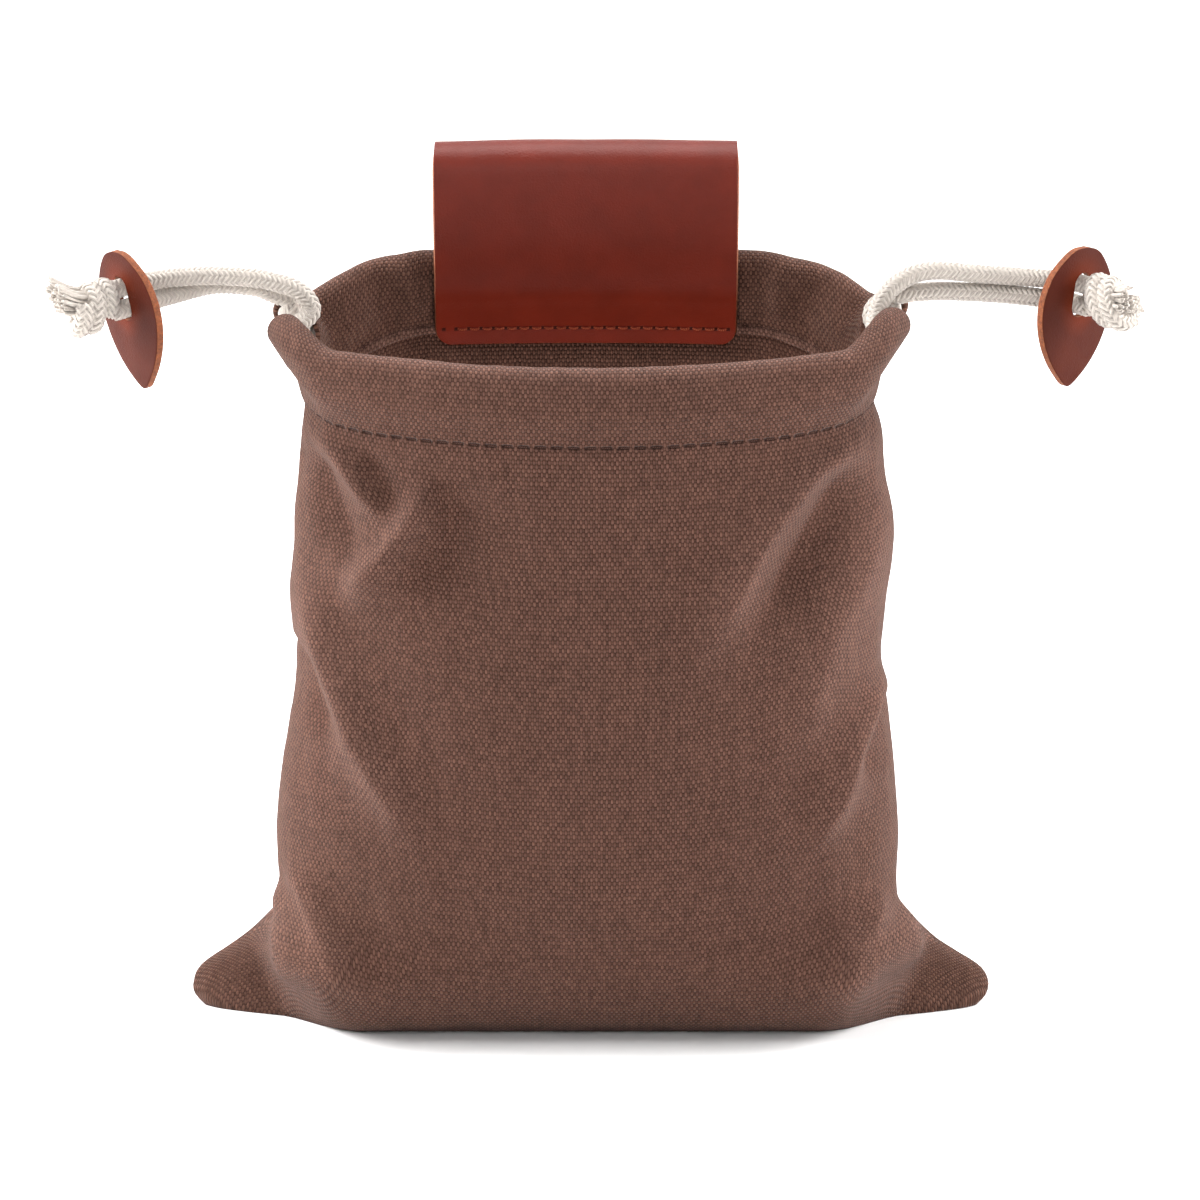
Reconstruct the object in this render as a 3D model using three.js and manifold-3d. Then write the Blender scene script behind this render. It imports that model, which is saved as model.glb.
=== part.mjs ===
// Drawstring belt pouch: a canvas sack with a drawstring hem, a leather belt loop and two drawcords.
// Frame: millimetres, +Z up, the front faces -Y, and the origin is on the floor under the middle of the sack.
// The sack is two sewn panels. Each panel is one sheet that runs from the bottom seam along the floor,
// up the wall, over the rim and down again inside, so that its folded top is the tunnel of the drawcords.
import * as THREE from "three";
import { mergeVertices } from "three/addons/utils/BufferGeometryUtils.js";
import Module from "manifold-3d";

// Canvas sack
const CLOTH = 1.5; // thickness of the canvas
const GAP = 0.3; // between pieces that are sewn together or rest on each other
const BODY_HALF_WIDTH = 92; // side seams at mid height, from the middle
const CORNER_HALF_WIDTH = 127; // tips of the bottom corners, from the middle
const CORNER_HEIGHT = 37; // where a bottom corner leaves the side of the body
const CORNER_THICKNESS = 16; // half the thickness of a bottom corner, where it leaves the foot
const CORNER_TIP = 4; // and at its tip
const FOOT_HALF_WIDTH = 79; // where the front bottom edge turns back to a corner
const BOTTOM_SEAM_BACK = 1; // how far the bottom seam lies behind the side seams
const BODY_FRONT = 50; // how far the front panel stands ahead of the side seams
const BODY_BACK = 46; // how far the back panel stands behind them
const FRONT_HEIGHT = 214.5; // top of the rim in the middle of the front
const SIDE_HEIGHT = 217.5; // top of the rim at the side slits
const BACK_HEIGHT = 237; // top of the rim behind the belt loop
const FOLD_DEPTH = 4; // how far a full fold stands proud
const FOLD_WIDTH = 10; // from a fold's crest to where it fades out

// Hem and its drawcord tunnel
const HEM_HEIGHT = 24.5; // from the stitch line to the top of the rim
const HEM_OVERLAP = 2; // how far the turned edge reaches below the stitch line
const SIDE_FLARE = 13.5; // how far the rim leans out over the stitch line at the sides
const FRONT_FLARE = 1; // and in the middle of the front
const SLIT_HALF_WIDTH = 7; // half the opening between the two hems at each side
const SLIT_CURL = 2.5; // how far the hem ends turn in at the slits
const SLIT_LIFT = 5.5; // how far the cords pull the hem ends up there

// Drawcords
const CORD = 6; // diameter
const CORD_PLAY = 0.95; // clearance of a cord in its tunnel
const CORD_SIDES = 8;

// Belt loop
const LEATHER = 2.6;
const LOOP_WIDTH = 94.3;
const LOOP_OFFSET = -1.5; // the loop is sewn on a little to the left
const LOOP_HEIGHT = 58.7; // from the stitch line to the top of the fold
const LOOP_HALF_DEPTH = 10; // half the thickness of the folded loop
const LOOP_TAIL = 5; // leather below the stitch line
const LOOP_CORNER = 5; // radius of the lower corners

// Toggles and knots
const TOGGLE_HEIGHT = 43;
const TOGGLE_WIDTH = 32;
const TOGGLE_THICKNESS = 2.4;
const TOGGLE_HOLE_AT = 0.34; // the hole's middle, as a share of the height from the top
const HOLE_LENGTH = 13.4;
const HOLE_WIDTH = 7;
const STRAND_END = 5; // where the strands enter the knot, out from the middle of the toggle
const KNOT_LENGTH = 13;
const KNOT_RING = 4.6; // radius of the knot's turns, at the middle of the cord
const KNOT_TILT = 24; // of the turns, in degrees
const TUFT_LENGTH = 14; // frayed end
const TUFT_WIDTH = 13;

// The body's outline. height is a share of the wall, left and right are shares of BODY_HALF_WIDTH,
// front and back are shares of BODY_FRONT and BODY_BACK.
const LEVELS = [
  { height: 0.0, left: 1.03, right: 1.03, front: 0.5, back: 0.5 },
  { height: 0.012, left: 1.04, right: 1.035, front: 0.59, back: 0.62 },
  { height: 0.04, left: 1.045, right: 1.04, front: 0.71, back: 0.74 },
  { height: 0.1, left: 1.05, right: 1.045, front: 0.83, back: 0.86 },
  { height: 0.2, left: 1.05, right: 1.05, front: 0.92, back: 0.95 },
  { height: 0.29, left: 1.076, right: 1.056, front: 0.97, back: 1.0 },
  { height: 0.39, left: 1.06, right: 1.04, front: 0.99, back: 1.0 },
  { height: 0.48, left: 1.025, right: 1.018, front: 1.0, back: 0.99 },
  { height: 0.57, left: 0.996, right: 0.984, front: 1.0, back: 0.97 },
  { height: 0.7, left: 0.995, right: 0.986, front: 0.99, back: 0.96 },
  { height: 0.84, left: 0.984, right: 0.986, front: 0.97, back: 0.94 },
  { height: 0.95, left: 0.962, right: 0.97, front: 0.96, back: 0.94 },
  { height: 1.0, left: 0.95, right: 0.94, front: 0.96, back: 0.96 },
];

// How far each bottom corner reaches from the body to its tip: height is a share of CORNER_HEIGHT.
const CORNER_LEVELS = [
  { height: 0.0, left: 0.9, right: 0.9 },
  { height: 0.08, left: 0.98, right: 0.98 },
  { height: 0.2, left: 1.0, right: 1.0 },
  { height: 0.34, left: 0.93, right: 0.9 },
  { height: 0.47, left: 0.73, right: 0.66 },
  { height: 0.6, left: 0.51, right: 0.43 },
  { height: 0.78, left: 0.23, right: 0.19 },
  { height: 0.92, left: 0.02, right: 0.02 },
  { height: 1.0, left: 0.0, right: 0.0 },
];

// Folds, drawn as lines on a panel seen from the front. Across and up are shares of BODY_HALF_WIDTH and
// of the wall's height, rise is a share of FOLD_DEPTH (below 0 for a dent), width of FOLD_WIDTH.
const FOLDS = [
  { side: -1, rise: 0.9, width: 0.8, line: [[-0.92, 1.0], [-0.79, 0.95], [-0.67, 0.87]] },
  { side: -1, rise: -0.9, width: 1.0, line: [[-0.94, 0.93], [-0.86, 0.83], [-0.8, 0.75]] },
  { side: -1, rise: 1.0, width: 0.85, line: [[-0.54, 0.93], [-0.57, 0.88], [-0.66, 0.81], [-0.79, 0.73]] },
  { side: -1, rise: -0.6, width: 1.4, line: [[-0.42, 0.96], [-0.43, 0.87], [-0.52, 0.74]] },
  { side: -1, rise: 1.0, width: 0.9, line: [[-0.98, 0.8], [-0.88, 0.66], [-0.8, 0.55], [-0.7, 0.46], [-0.52, 0.31]] },
  { side: -1, rise: -0.7, width: 0.7, line: [[-1.0, 0.64], [-0.92, 0.56], [-0.84, 0.49]] },
  { side: -1, rise: 0.8, width: 0.8, line: [[-1.02, 0.3], [-0.9, 0.2], [-0.83, 0.12], [-0.8, 0.04]] },
  { side: -1, rise: 0.7, width: 0.6, line: [[-1.03, 0.24], [-1.03, 0.14], [-0.98, 0.07]] },
  { side: -1, rise: 1.0, width: 0.95, line: [[0.93, 1.0], [0.75, 0.99], [0.62, 0.88], [0.49, 0.76], [0.36, 0.65], [0.3, 0.58]] },
  { side: -1, rise: -0.8, width: 1.2, line: [[0.88, 0.97], [0.74, 0.84], [0.6, 0.71]] },
  { side: -1, rise: 0.7, width: 1.4, line: [[0.97, 0.91], [0.9, 0.78], [0.77, 0.66], [0.7, 0.53], [0.64, 0.46]] },
  { side: -1, rise: 0.9, width: 0.75, line: [[0.98, 0.6], [0.88, 0.49], [0.79, 0.38], [0.73, 0.31]] },
  { side: -1, rise: -0.6, width: 0.7, line: [[1.0, 0.55], [0.93, 0.47], [0.9, 0.42]] },
  { side: -1, rise: 0.8, width: 0.8, line: [[0.99, 0.25], [0.9, 0.18], [0.84, 0.1], [0.86, 0.04]] },
  { side: -1, rise: 0.7, width: 0.6, line: [[1.04, 0.2], [1.08, 0.13], [1.06, 0.08]] },
  { side: 1, rise: 0.8, width: 1.2, line: [[-0.9, 0.98], [-0.7, 0.86], [-0.55, 0.7], [-0.5, 0.56]] },
  { side: 1, rise: 0.9, width: 1.1, line: [[0.9, 0.98], [0.72, 0.84], [0.6, 0.72], [0.5, 0.6]] },
  { side: 1, rise: 0.7, width: 1.0, line: [[-0.98, 0.66], [-0.84, 0.5], [-0.7, 0.38], [-0.6, 0.28]] },
  { side: 1, rise: 0.7, width: 1.0, line: [[0.98, 0.6], [0.86, 0.46], [0.74, 0.34], [0.66, 0.26]] },
  { side: 1, rise: 0.8, width: 0.8, line: [[-1.0, 0.27], [-0.9, 0.18], [-0.84, 0.05]] },
  { side: 1, rise: 0.8, width: 0.8, line: [[1.0, 0.27], [0.9, 0.18], [0.84, 0.05]] },
];

// Gathers of the hem beside the belt loop, on the back only. across is a share of BODY_HALF_WIDTH
// and push a share of GATHER_DEPTH, outwards.
const GATHER_DEPTH = 2.2;
const GATHER_WIDTH = 6;
const GATHERS = [
  { across: -0.8, push: -0.6 },
  { across: -0.68, push: 1.0 },
  { across: 0.7, push: 1.0 },
  { across: 0.83, push: -0.6 },
];

// Mesh density
const COLUMNS = 26;
const FOOT_ROWS = 2;
const WALL_ROWS = [0.0, 0.015, 0.04, 0.075, 0.115, 0.155, 0.195, 0.245, 0.31, 0.38, 0.46, 0.54, 0.62, 0.7, 0.78, 0.86, 0.93, 1.0];

const mix = (a, b, share) => a + (b - a) * share;
const smooth = (share) => {
  const t = Math.min(1, Math.max(0, share));
  return t * t * (3 - 2 * t);
};

// A column of a table at a height between its rows, on a smooth curve through them.
function valueAt(table, column, height) {
  const last = table.length - 1;
  if (height <= table[0].height) return table[0][column];
  if (height >= table[last].height) return table[last][column];
  const i = table.findIndex((row) => row.height > height) - 1;
  const slope = (k) => {
    const low = table[Math.max(0, k - 1)];
    const high = table[Math.min(last, k + 1)];
    return (high[column] - low[column]) / (high.height - low.height);
  };
  const span = table[i + 1].height - table[i].height;
  const t = (height - table[i].height) / span;
  return (
    mix(table[i][column], table[i + 1][column], t * t * (3 - 2 * t)) +
    slope(i) * span * t * (1 - t) * (1 - t) -
    slope(i + 1) * span * t * t * (1 - t)
  );
}

// Rim and stitch line. side is -1 for the front panel and 1 for the back one, and turn is the angle
// round the mouth, from -90 degrees at the left seam to 90 at the right one.
const QUARTER = Math.PI / 2;
const BACK_LEVEL_FROM = (55 * Math.PI) / 180; // the back rim is level once it is this far from the seams

function rimHeight(side, turn) {
  const fromSeam = QUARTER - Math.abs(turn);
  return side < 0
    ? mix(SIDE_HEIGHT, FRONT_HEIGHT, smooth(fromSeam / QUARTER))
    : mix(SIDE_HEIGHT, BACK_HEIGHT, smooth(fromSeam / BACK_LEVEL_FROM));
}

function flareAt(side, turn) {
  const middle = side < 0 ? FRONT_FLARE : 0;
  return mix(SIDE_FLARE, middle, smooth((QUARTER - Math.abs(turn)) / BACK_LEVEL_FROM));
}

function stitchHeight(side, turn) {
  const flare = flareAt(side, turn);
  return rimHeight(side, turn) - Math.sqrt(HEM_HEIGHT ** 2 - flare ** 2);
}

// A point of a panel's wall, without its folds.
function bareWall(side, turn, share) {
  const z = stitchHeight(side, turn) * share;
  const across = Math.sin(turn);
  const half = across < 0 ? "left" : "right";
  const body = BODY_HALF_WIDTH * valueAt(LEVELS, half, share);
  const cornerShare = z / CORNER_HEIGHT;
  const halfWidth = mix(body, CORNER_HALF_WIDTH, valueAt(CORNER_LEVELS, half, cornerShare));
  const x = halfWidth * across;
  const depth = side < 0 ? BODY_FRONT * valueAt(LEVELS, "front", share) : BODY_BACK * valueAt(LEVELS, "back", share);
  const round = depth * Math.cos(turn) ** (side < 0 ? 0.8 : 0.6);
  // Near the floor the section is a broad foot with a tapering corner at each end.
  const edge = mix(FOOT_HALF_WIDTH, body, Math.min(1, cornerShare));
  const past = Math.min(1, Math.max(0, (Math.abs(x) - edge) / (CORNER_HALF_WIDTH - edge)));
  const corner = mix(CORNER_THICKNESS * (1 - cornerShare / 2), CORNER_TIP, past);
  const foot = mix(depth, corner, smooth((Math.abs(x) - edge + 8) / 28)) * Math.sqrt(Math.max(0, 1 - across ** 20));
  const low = 1 - smooth((cornerShare - 0.55) / 0.75);
  return new THREE.Vector3(x, side * (GAP / 2 + mix(round, foot, low)), z);
}

// Folds: each line is smoothed once, and its ridge fades out at both ends.
const FOLD_STEPS = 14;
const foldCurves = FOLDS.map((fold) => {
  const points = fold.line.map(([across, up]) => new THREE.Vector2(across, up));
  return { ...fold, points: new THREE.SplineCurve(points).getSpacedPoints(FOLD_STEPS) };
});

function foldRise(side, x, z, wallHeight) {
  let rise = 0;
  for (const fold of foldCurves) {
    if (fold.side !== side) continue;
    let nearest = Infinity;
    let along = 0;
    for (let i = 0; i < FOLD_STEPS; i++) {
      const [a, b] = [fold.points[i], fold.points[i + 1]];
      const [ax, az] = [a.x * BODY_HALF_WIDTH, a.y * wallHeight];
      const [dx, dz] = [b.x * BODY_HALF_WIDTH - ax, b.y * wallHeight - az];
      const t = Math.min(1, Math.max(0, ((x - ax) * dx + (z - az) * dz) / (dx * dx + dz * dz)));
      const distance = Math.hypot(x - ax - dx * t, z - az - dz * t);
      if (distance < nearest) {
        nearest = distance;
        along = (i + t) / FOLD_STEPS;
      }
    }
    const fade = smooth(along / 0.25) * smooth((1 - along) / 0.35);
    rise += FOLD_DEPTH * fold.rise * fade * Math.exp(-((nearest / (FOLD_WIDTH * fold.width)) ** 2));
  }
  return rise;
}

// A point of a panel's wall with its folds, which push it out along the wall's level normal.
const NUDGE = 0.01;
function wallPoint(side, turn, share) {
  const point = bareWall(side, turn, share);
  const limit = QUARTER - NUDGE;
  const at = Math.min(limit, Math.max(-limit, turn));
  const ahead = bareWall(side, at + NUDGE, share).sub(bareWall(side, at - NUDGE, share));
  const out = new THREE.Vector3(-side * ahead.y, side * ahead.x, 0).normalize();
  const wallHeight = stitchHeight(side, turn);
  const offFloor = smooth(point.z / (CORNER_HEIGHT / 3));
  const offStitches = smooth((1 - share) / 0.05);
  const offSeam = smooth((QUARTER - Math.abs(turn)) / 0.12);
  const rise = foldRise(side, point.x, point.z, wallHeight) * offFloor * offStitches * offSeam;
  return point.addScaledVector(out, rise);
}

// The hem's own section: out is the distance from the middle of the hem and up the height over the
// stitch line. The tunnel holds two cords, one over the other.
const TUNNEL = CORD / 2 + CORD_PLAY;
const HEM_ROUND = TUNNEL + CLOTH; // outer radius of the rim
const HEM_FLAT = CLOTH + GAP / 2; // half the thickness of the hem at the stitch line
const UPPER_CORD = HEM_HEIGHT - HEM_ROUND;
const LOWER_CORD = UPPER_CORD - CORD - GAP;
const TUNNEL_FROM = LOWER_CORD - TUNNEL;
const ROUND_STEPS = 4;

function hemSection() {
  const section = [];
  for (const share of [0.5, 1]) section.push({ out: mix(HEM_FLAT, HEM_ROUND, smooth(share)), up: LOWER_CORD * share });
  for (let i = 0; i <= ROUND_STEPS; i++) {
    const angle = (Math.PI * i) / ROUND_STEPS;
    section.push({ out: HEM_ROUND * Math.cos(angle), up: UPPER_CORD + HEM_ROUND * Math.sin(angle) });
  }
  for (const share of [1, 0.5, 0]) section.push({ out: -mix(HEM_FLAT, HEM_ROUND, smooth(share)), up: LOWER_CORD * share });
  section.push({ out: -HEM_FLAT, up: -HEM_OVERLAP });
  return section;
}

// The hems stop short of the seams, so that the cords can leave between them.
const SLIT_FROM = (60 * Math.PI) / 180;
const SLIT_TURN = SLIT_HALF_WIDTH / (BODY_FRONT * valueAt(LEVELS, "front", 1));

function hemTurn(turn, up) {
  const opened = smooth((up + HEM_OVERLAP) / (TUNNEL_FROM + HEM_OVERLAP));
  const beyond = Math.max(0, Math.abs(turn) - SLIT_FROM);
  const kept = 1 - (SLIT_TURN * mix(0.3, 1, opened)) / (QUARTER - SLIT_FROM);
  return Math.sign(turn) * (Math.min(Math.abs(turn), SLIT_FROM) + beyond * kept);
}

function hemSeat(side, turn) {
  const foot = bareWall(side, turn, 1);
  const ahead = bareWall(side, Math.min(QUARTER, turn + NUDGE), 1);
  ahead.sub(bareWall(side, Math.max(-QUARTER, turn - NUDGE), 1)).normalize();
  const level = new THREE.Vector3(-side * ahead.y, side * ahead.x, 0).normalize();
  const flare = flareAt(side, turn);
  // The hem stands square to the stitch line, so that it keeps its height where the rim climbs.
  const up = level.clone().multiplyScalar(flare).setZ(Math.sqrt(HEM_HEIGHT ** 2 - flare ** 2));
  up.addScaledVector(ahead, -up.dot(ahead)).normalize();
  const out = new THREE.Vector3().crossVectors(up, ahead).multiplyScalar(side);
  return { foot: foot.addScaledVector(out, -HEM_FLAT), level, up, out };
}

function hemPoint(side, turn, outBy, upBy) {
  const seat = hemSeat(side, turn);
  const point = seat.foot.clone().addScaledVector(seat.up, upBy).addScaledVector(seat.out, outBy);
  const raised = smooth(upBy / TUNNEL_FROM);
  const toSlit = smooth((Math.abs(turn) - SLIT_FROM) / (QUARTER - SLIT_FROM - SLIT_TURN));
  point.x -= Math.sign(turn) * SLIT_CURL * raised * toSlit;
  point.z += SLIT_LIFT * raised * toSlit;
  if (side > 0) {
    for (const gather of GATHERS) {
      const from = (seat.foot.x - gather.across * BODY_HALF_WIDTH) / GATHER_WIDTH;
      point.addScaledVector(seat.level, gather.push * GATHER_DEPTH * raised * Math.exp(-from * from));
    }
  }
  return point;
}

// Closes a grid of points, rows of equal length, into a solid of one thickness. The grid is its outer
// face, whose triangles are turned round if need be. pin can keep inner points in their outer ones' plane.
function thicken(rows, thickness, asWound, pin) {
  const corners = rows.flat().flatMap((p) => p.toArray());
  const across = rows[0].length;
  const index = [];
  for (let r = 0; r + 1 < rows.length; r++) {
    for (let c = 0; c + 1 < across; c++) {
      const [a, b, d, e] = [r * across + c, r * across + c + 1, (r + 1) * across + c, (r + 1) * across + c + 1];
      // Each cell is cut along its shorter diagonal.
      const flat = rows[r][c].distanceTo(rows[r + 1][c + 1]) <= rows[r][c + 1].distanceTo(rows[r + 1][c]);
      index.push(...(flat ? [a, b, e, a, e, d] : [a, b, d, b, e, d]));
    }
  }
  const sheet = new THREE.BufferGeometry();
  sheet.setAttribute("position", new THREE.Float32BufferAttribute(corners, 3));
  sheet.setIndex(asWound ? index : index.reverse());
  const outer = mergeVertices(sheet, 1e-3);
  outer.computeVertexNormals();
  const position = outer.getAttribute("position");
  const normal = outer.getAttribute("normal");
  const count = position.count;
  const points = [...position.array];
  const triangles = [];
  const edges = new Map();
  for (let i = 0; i < outer.index.count; i += 3) {
    const face = [0, 1, 2].map((k) => outer.index.getX(i + k));
    if (new Set(face).size < 3) continue;
    triangles.push(...face, face[2] + count, face[1] + count, face[0] + count);
    for (let k = 0; k < 3; k++) {
      const [from, to] = [face[k], face[(k + 1) % 3]];
      if (!edges.delete(`${to},${from}`)) edges.set(`${from},${to}`, [from, to]);
    }
  }
  for (let i = 0; i < count; i++) {
    const at = new THREE.Vector3().fromBufferAttribute(position, i);
    const away = new THREE.Vector3().fromBufferAttribute(normal, i);
    if (pin) pin(at, away);
    points.push(...at.addScaledVector(away.normalize(), -thickness).toArray());
  }
  for (const [from, to] of edges.values()) {
    triangles.push(to, from, from + count, to, from + count, to + count);
  }
  const solid = new THREE.BufferGeometry();
  solid.setAttribute("position", new THREE.Float32BufferAttribute(points, 3));
  solid.setIndex(triangles);
  return solid;
}

const turns = Array.from({ length: COLUMNS + 1 }, (_, i) => mix(-QUARTER, QUARTER, i / COLUMNS));

function panel(side) {
  const rows = [];
  // The bottom seam and the part that lies on the floor.
  for (let i = 0; i < FOOT_ROWS; i++) {
    rows.push(
      turns.map((turn) => {
        const edge = wallPoint(side, turn, 0);
        const seam = (side * GAP) / 2 + BOTTOM_SEAM_BACK * Math.cos(turn);
        return edge.setY(mix(seam, edge.y, i / FOOT_ROWS));
      }),
    );
  }
  for (const share of WALL_ROWS) rows.push(turns.map((turn) => wallPoint(side, turn, share)));
  for (const { out, up } of hemSection()) rows.push(turns.map((turn) => hemPoint(side, hemTurn(turn, up), out, up)));
  return thicken(rows, CLOTH, side < 0, (at, away) => {
    if (Math.abs(at.y) < GAP) away.setY(0);
  });
}

// Belt loop: a strap folded over, whose two ends hold the back hem between them. An odd number of parts
// gives the fold a level facet at its top.
const FOLD_PARTS = 7;
const turnAt = (x) => Math.asin(x / (BODY_HALF_WIDTH * valueAt(LEVELS, x < 0 ? "left" : "right", 1)));

function beltLoop() {
  const stitchZ = stitchHeight(1, 0);
  const clear = LEATHER + GAP;
  const flat = HEM_FLAT + clear;
  const full = HEM_ROUND + clear;
  const topAt = LOOP_HEIGHT - LOOP_HALF_DEPTH;
  const side = [
    [flat, -LOOP_TAIL],
    [flat, -LOOP_TAIL / 2],
    [flat, 0],
    [mix(flat, full, 0.5), LOWER_CORD * 0.4],
    [full, LOWER_CORD * 0.85],
    [full + 0.2, UPPER_CORD],
    [mix(full, LOOP_HALF_DEPTH, 0.6), HEM_HEIGHT + 4],
    [LOOP_HALF_DEPTH, mix(HEM_HEIGHT, topAt, 0.75)],
  ];
  const fold = [];
  for (let i = 0; i <= FOLD_PARTS; i++) {
    const angle = (Math.PI * i) / FOLD_PARTS;
    fold.push([-LOOP_HALF_DEPTH * Math.cos(angle), topAt + LOOP_HALF_DEPTH * Math.sin(angle)]);
  }
  const profile = [...side.map(([out, up]) => [-out, up]), ...fold, ...side.reverse()];
  // Within a corner's radius of either end the strap narrows along an arc.
  const halfWidthAt = (up) => {
    const into = Math.max(0, LOOP_CORNER - (up + LOOP_TAIL));
    return LOOP_WIDTH / 2 - LOOP_CORNER + Math.sqrt(LOOP_CORNER ** 2 - into ** 2);
  };
  const columns = 8;
  const rows = [];
  profile.forEach(([out, up], i) => {
    const row = [];
    const half = i === 0 || i === profile.length - 1 ? halfWidthAt(-LOOP_TAIL * 0.9) : halfWidthAt(up);
    for (let c = 0; c <= columns; c++) {
      const x = LOOP_OFFSET + mix(-half, half, c / columns);
      row.push(new THREE.Vector3(x, hemSeat(1, turnAt(x)).foot.y + out, stitchZ + up));
    }
    rows.push(row);
  });
  return thicken(rows, LEATHER, true);
}

// A curve whose steps are its own points, for a tube that has to bend where its tunnel does.
class Route extends THREE.Curve {
  constructor(points) {
    super();
    this.points = points;
  }
  getPoint(t) {
    const at = t * (this.points.length - 1);
    const i = Math.min(this.points.length - 2, Math.floor(at));
    return this.points[i].clone().lerp(this.points[i + 1], at - i);
  }
  getPointAt(u) {
    return this.getPoint(u);
  }
  getTangentAt(u) {
    const step = 1 / (this.points.length - 1);
    return this.getPoint(Math.min(1, u + step)).sub(this.getPoint(Math.max(0, u - step))).normalize();
  }
}

function cordSection(radius, sides) {
  const corners = Array.from({ length: sides }, (_, i) => {
    const angle = (2 * Math.PI * i) / sides;
    return new THREE.Vector2(radius * Math.cos(angle), radius * Math.sin(angle));
  });
  return new THREE.Shape(corners);
}

function tube(points, radius = CORD / 2, sides = CORD_SIDES) {
  return new THREE.ExtrudeGeometry(cordSection(radius, sides), {
    steps: points.length - 1,
    extrudePath: new Route(points),
    bevelEnabled: false,
  });
}

function smoothPath(points, steps) {
  return new THREE.CatmullRomCurve3(points).getSpacedPoints(steps);
}

// The stretch of a drawcord inside the two tunnels: it starts at one slit, passes the other one and
// comes back to the first. Between the bends it needs only every other column.
const cordTurns = turns.filter((turn, i) => i % 2 === 0 || Math.abs(turn) > Math.PI / 6);

function tunnelCord(exitSide, level) {
  const inTunnel = (side, order) => cordTurns.map((turn) => hemPoint(side, hemTurn(turn * order, level), 0, level));
  const front = inTunnel(-1, -exitSide);
  const back = inTunnel(1, exitSide);
  const across = smoothPath([front.at(-2), front.at(-1), back[0], back[1]], 12).slice(5, 8);
  return tube([...front, ...across, ...back]);
}

// Toggles: a leaf of leather with a long hole for two strands, made with the hole's middle at the origin,
// upright, and its outer face towards -Y. down is a share of TOGGLE_HEIGHT, half of half TOGGLE_WIDTH.
const LEAF = [
  { down: 0.0, half: 0.0 },
  { down: 0.02, half: 0.24 },
  { down: 0.08, half: 0.48 },
  { down: 0.2, half: 0.8 },
  { down: 0.34, half: 0.97 },
  { down: 0.47, half: 1.0 },
  { down: 0.6, half: 0.93 },
  { down: 0.73, half: 0.77 },
  { down: 0.85, half: 0.53 },
  { down: 0.95, half: 0.24 },
  { down: 0.99, half: 0.09 },
  { down: 1.0, half: 0.0 },
];

function toggle() {
  const right = LEAF.map(({ down, half }) => {
    return new THREE.Vector2((half * TOGGLE_WIDTH) / 2, (TOGGLE_HOLE_AT - down) * TOGGLE_HEIGHT);
  });
  const left = right.slice(1, -1).reverse().map((point) => new THREE.Vector2(-point.x, point.y));
  const leaf = new THREE.Shape([...right, ...left]);
  const hole = new THREE.Path();
  const radius = HOLE_WIDTH / 2;
  const rise = HOLE_LENGTH / 2 - radius;
  hole.absarc(0, rise, radius, 0, Math.PI);
  hole.absarc(0, -rise, radius, Math.PI, 2 * Math.PI);
  leaf.holes.push(hole);
  const plate = new THREE.ExtrudeGeometry(leaf, { depth: TOGGLE_THICKNESS, bevelEnabled: false, curveSegments: 6 });
  return plate.rotateX(Math.PI / 2).translate(0, TOGGLE_THICKNESS / 2, 0);
}

// Knots: two tilted turns of cord round a core, and the frayed ends beyond them, in the toggle's frame.
const wasm = await Module();
wasm.setup();

function solid(geometry) {
  const plain = geometry.clone();
  plain.deleteAttribute("normal");
  plain.deleteAttribute("uv");
  const merged = mergeVertices(plain, 1e-4);
  const vertProperties = new Float32Array(merged.getAttribute("position").array);
  return new wasm.Manifold(new wasm.Mesh({ numProp: 3, vertProperties, triVerts: new Uint32Array(merged.index.array) }));
}

function knot(tuftSide, tuftLift) {
  const from = STRAND_END + GAP;
  const core = new THREE.CylinderGeometry(KNOT_RING, KNOT_RING, KNOT_LENGTH, 12).translate(0, -from - KNOT_LENGTH / 2, 0);
  let joined = solid(core);
  [0.42, 0.84].forEach((share, i) => {
    const ring = new THREE.TorusGeometry(KNOT_RING, CORD / 2, 8, 14).rotateX(Math.PI / 2);
    ring.rotateX(((i ? 1 : -1) * KNOT_TILT * Math.PI) / 180).scale(1, 1, 1.15);
    joined = joined.add(solid(ring.translate(0, -from - KNOT_LENGTH * share, 0)));
  });
  const tuft = new THREE.CylinderGeometry(TUFT_WIDTH / 3, TUFT_WIDTH / 2, TUFT_LENGTH, 12);
  tuft.scale(0.8, 1, 1).translate(0, -TUFT_LENGTH / 2, 0).rotateZ(tuftSide).rotateX(tuftLift);
  joined = joined.add(solid(tuft.translate(0, -from - KNOT_LENGTH + 2, 0)));
  const mesh = joined.getMesh();
  const geometry = new THREE.BufferGeometry();
  geometry.setAttribute("position", new THREE.Float32BufferAttribute(mesh.vertProperties, 3));
  geometry.setIndex([...mesh.triVerts]);
  return geometry;
}

const group = new THREE.Group();
function add(name, geometry, material, parent = group) {
  const mesh = new THREE.Mesh(geometry, material);
  mesh.name = name;
  parent.add(mesh);
  return mesh;
}

const canvas = new THREE.MeshStandardMaterial({ color: 0x6f4c42, roughness: 0.95, metalness: 0 });
const leather = new THREE.MeshStandardMaterial({ color: 0x7a2c1c, roughness: 0.45, metalness: 0 });
const cotton = new THREE.MeshStandardMaterial({ color: 0xe9e4dc, roughness: 0.9, metalness: 0 });

add("front_panel", panel(-1), canvas);
add("back_panel", panel(1), canvas);
add("belt_loop", beltLoop(), leather);
add("left_cord_in_hem", tunnelCord(-1, UPPER_CORD), cotton);
add("right_cord_in_hem", tunnelCord(1, LOWER_CORD), cotton);

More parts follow.
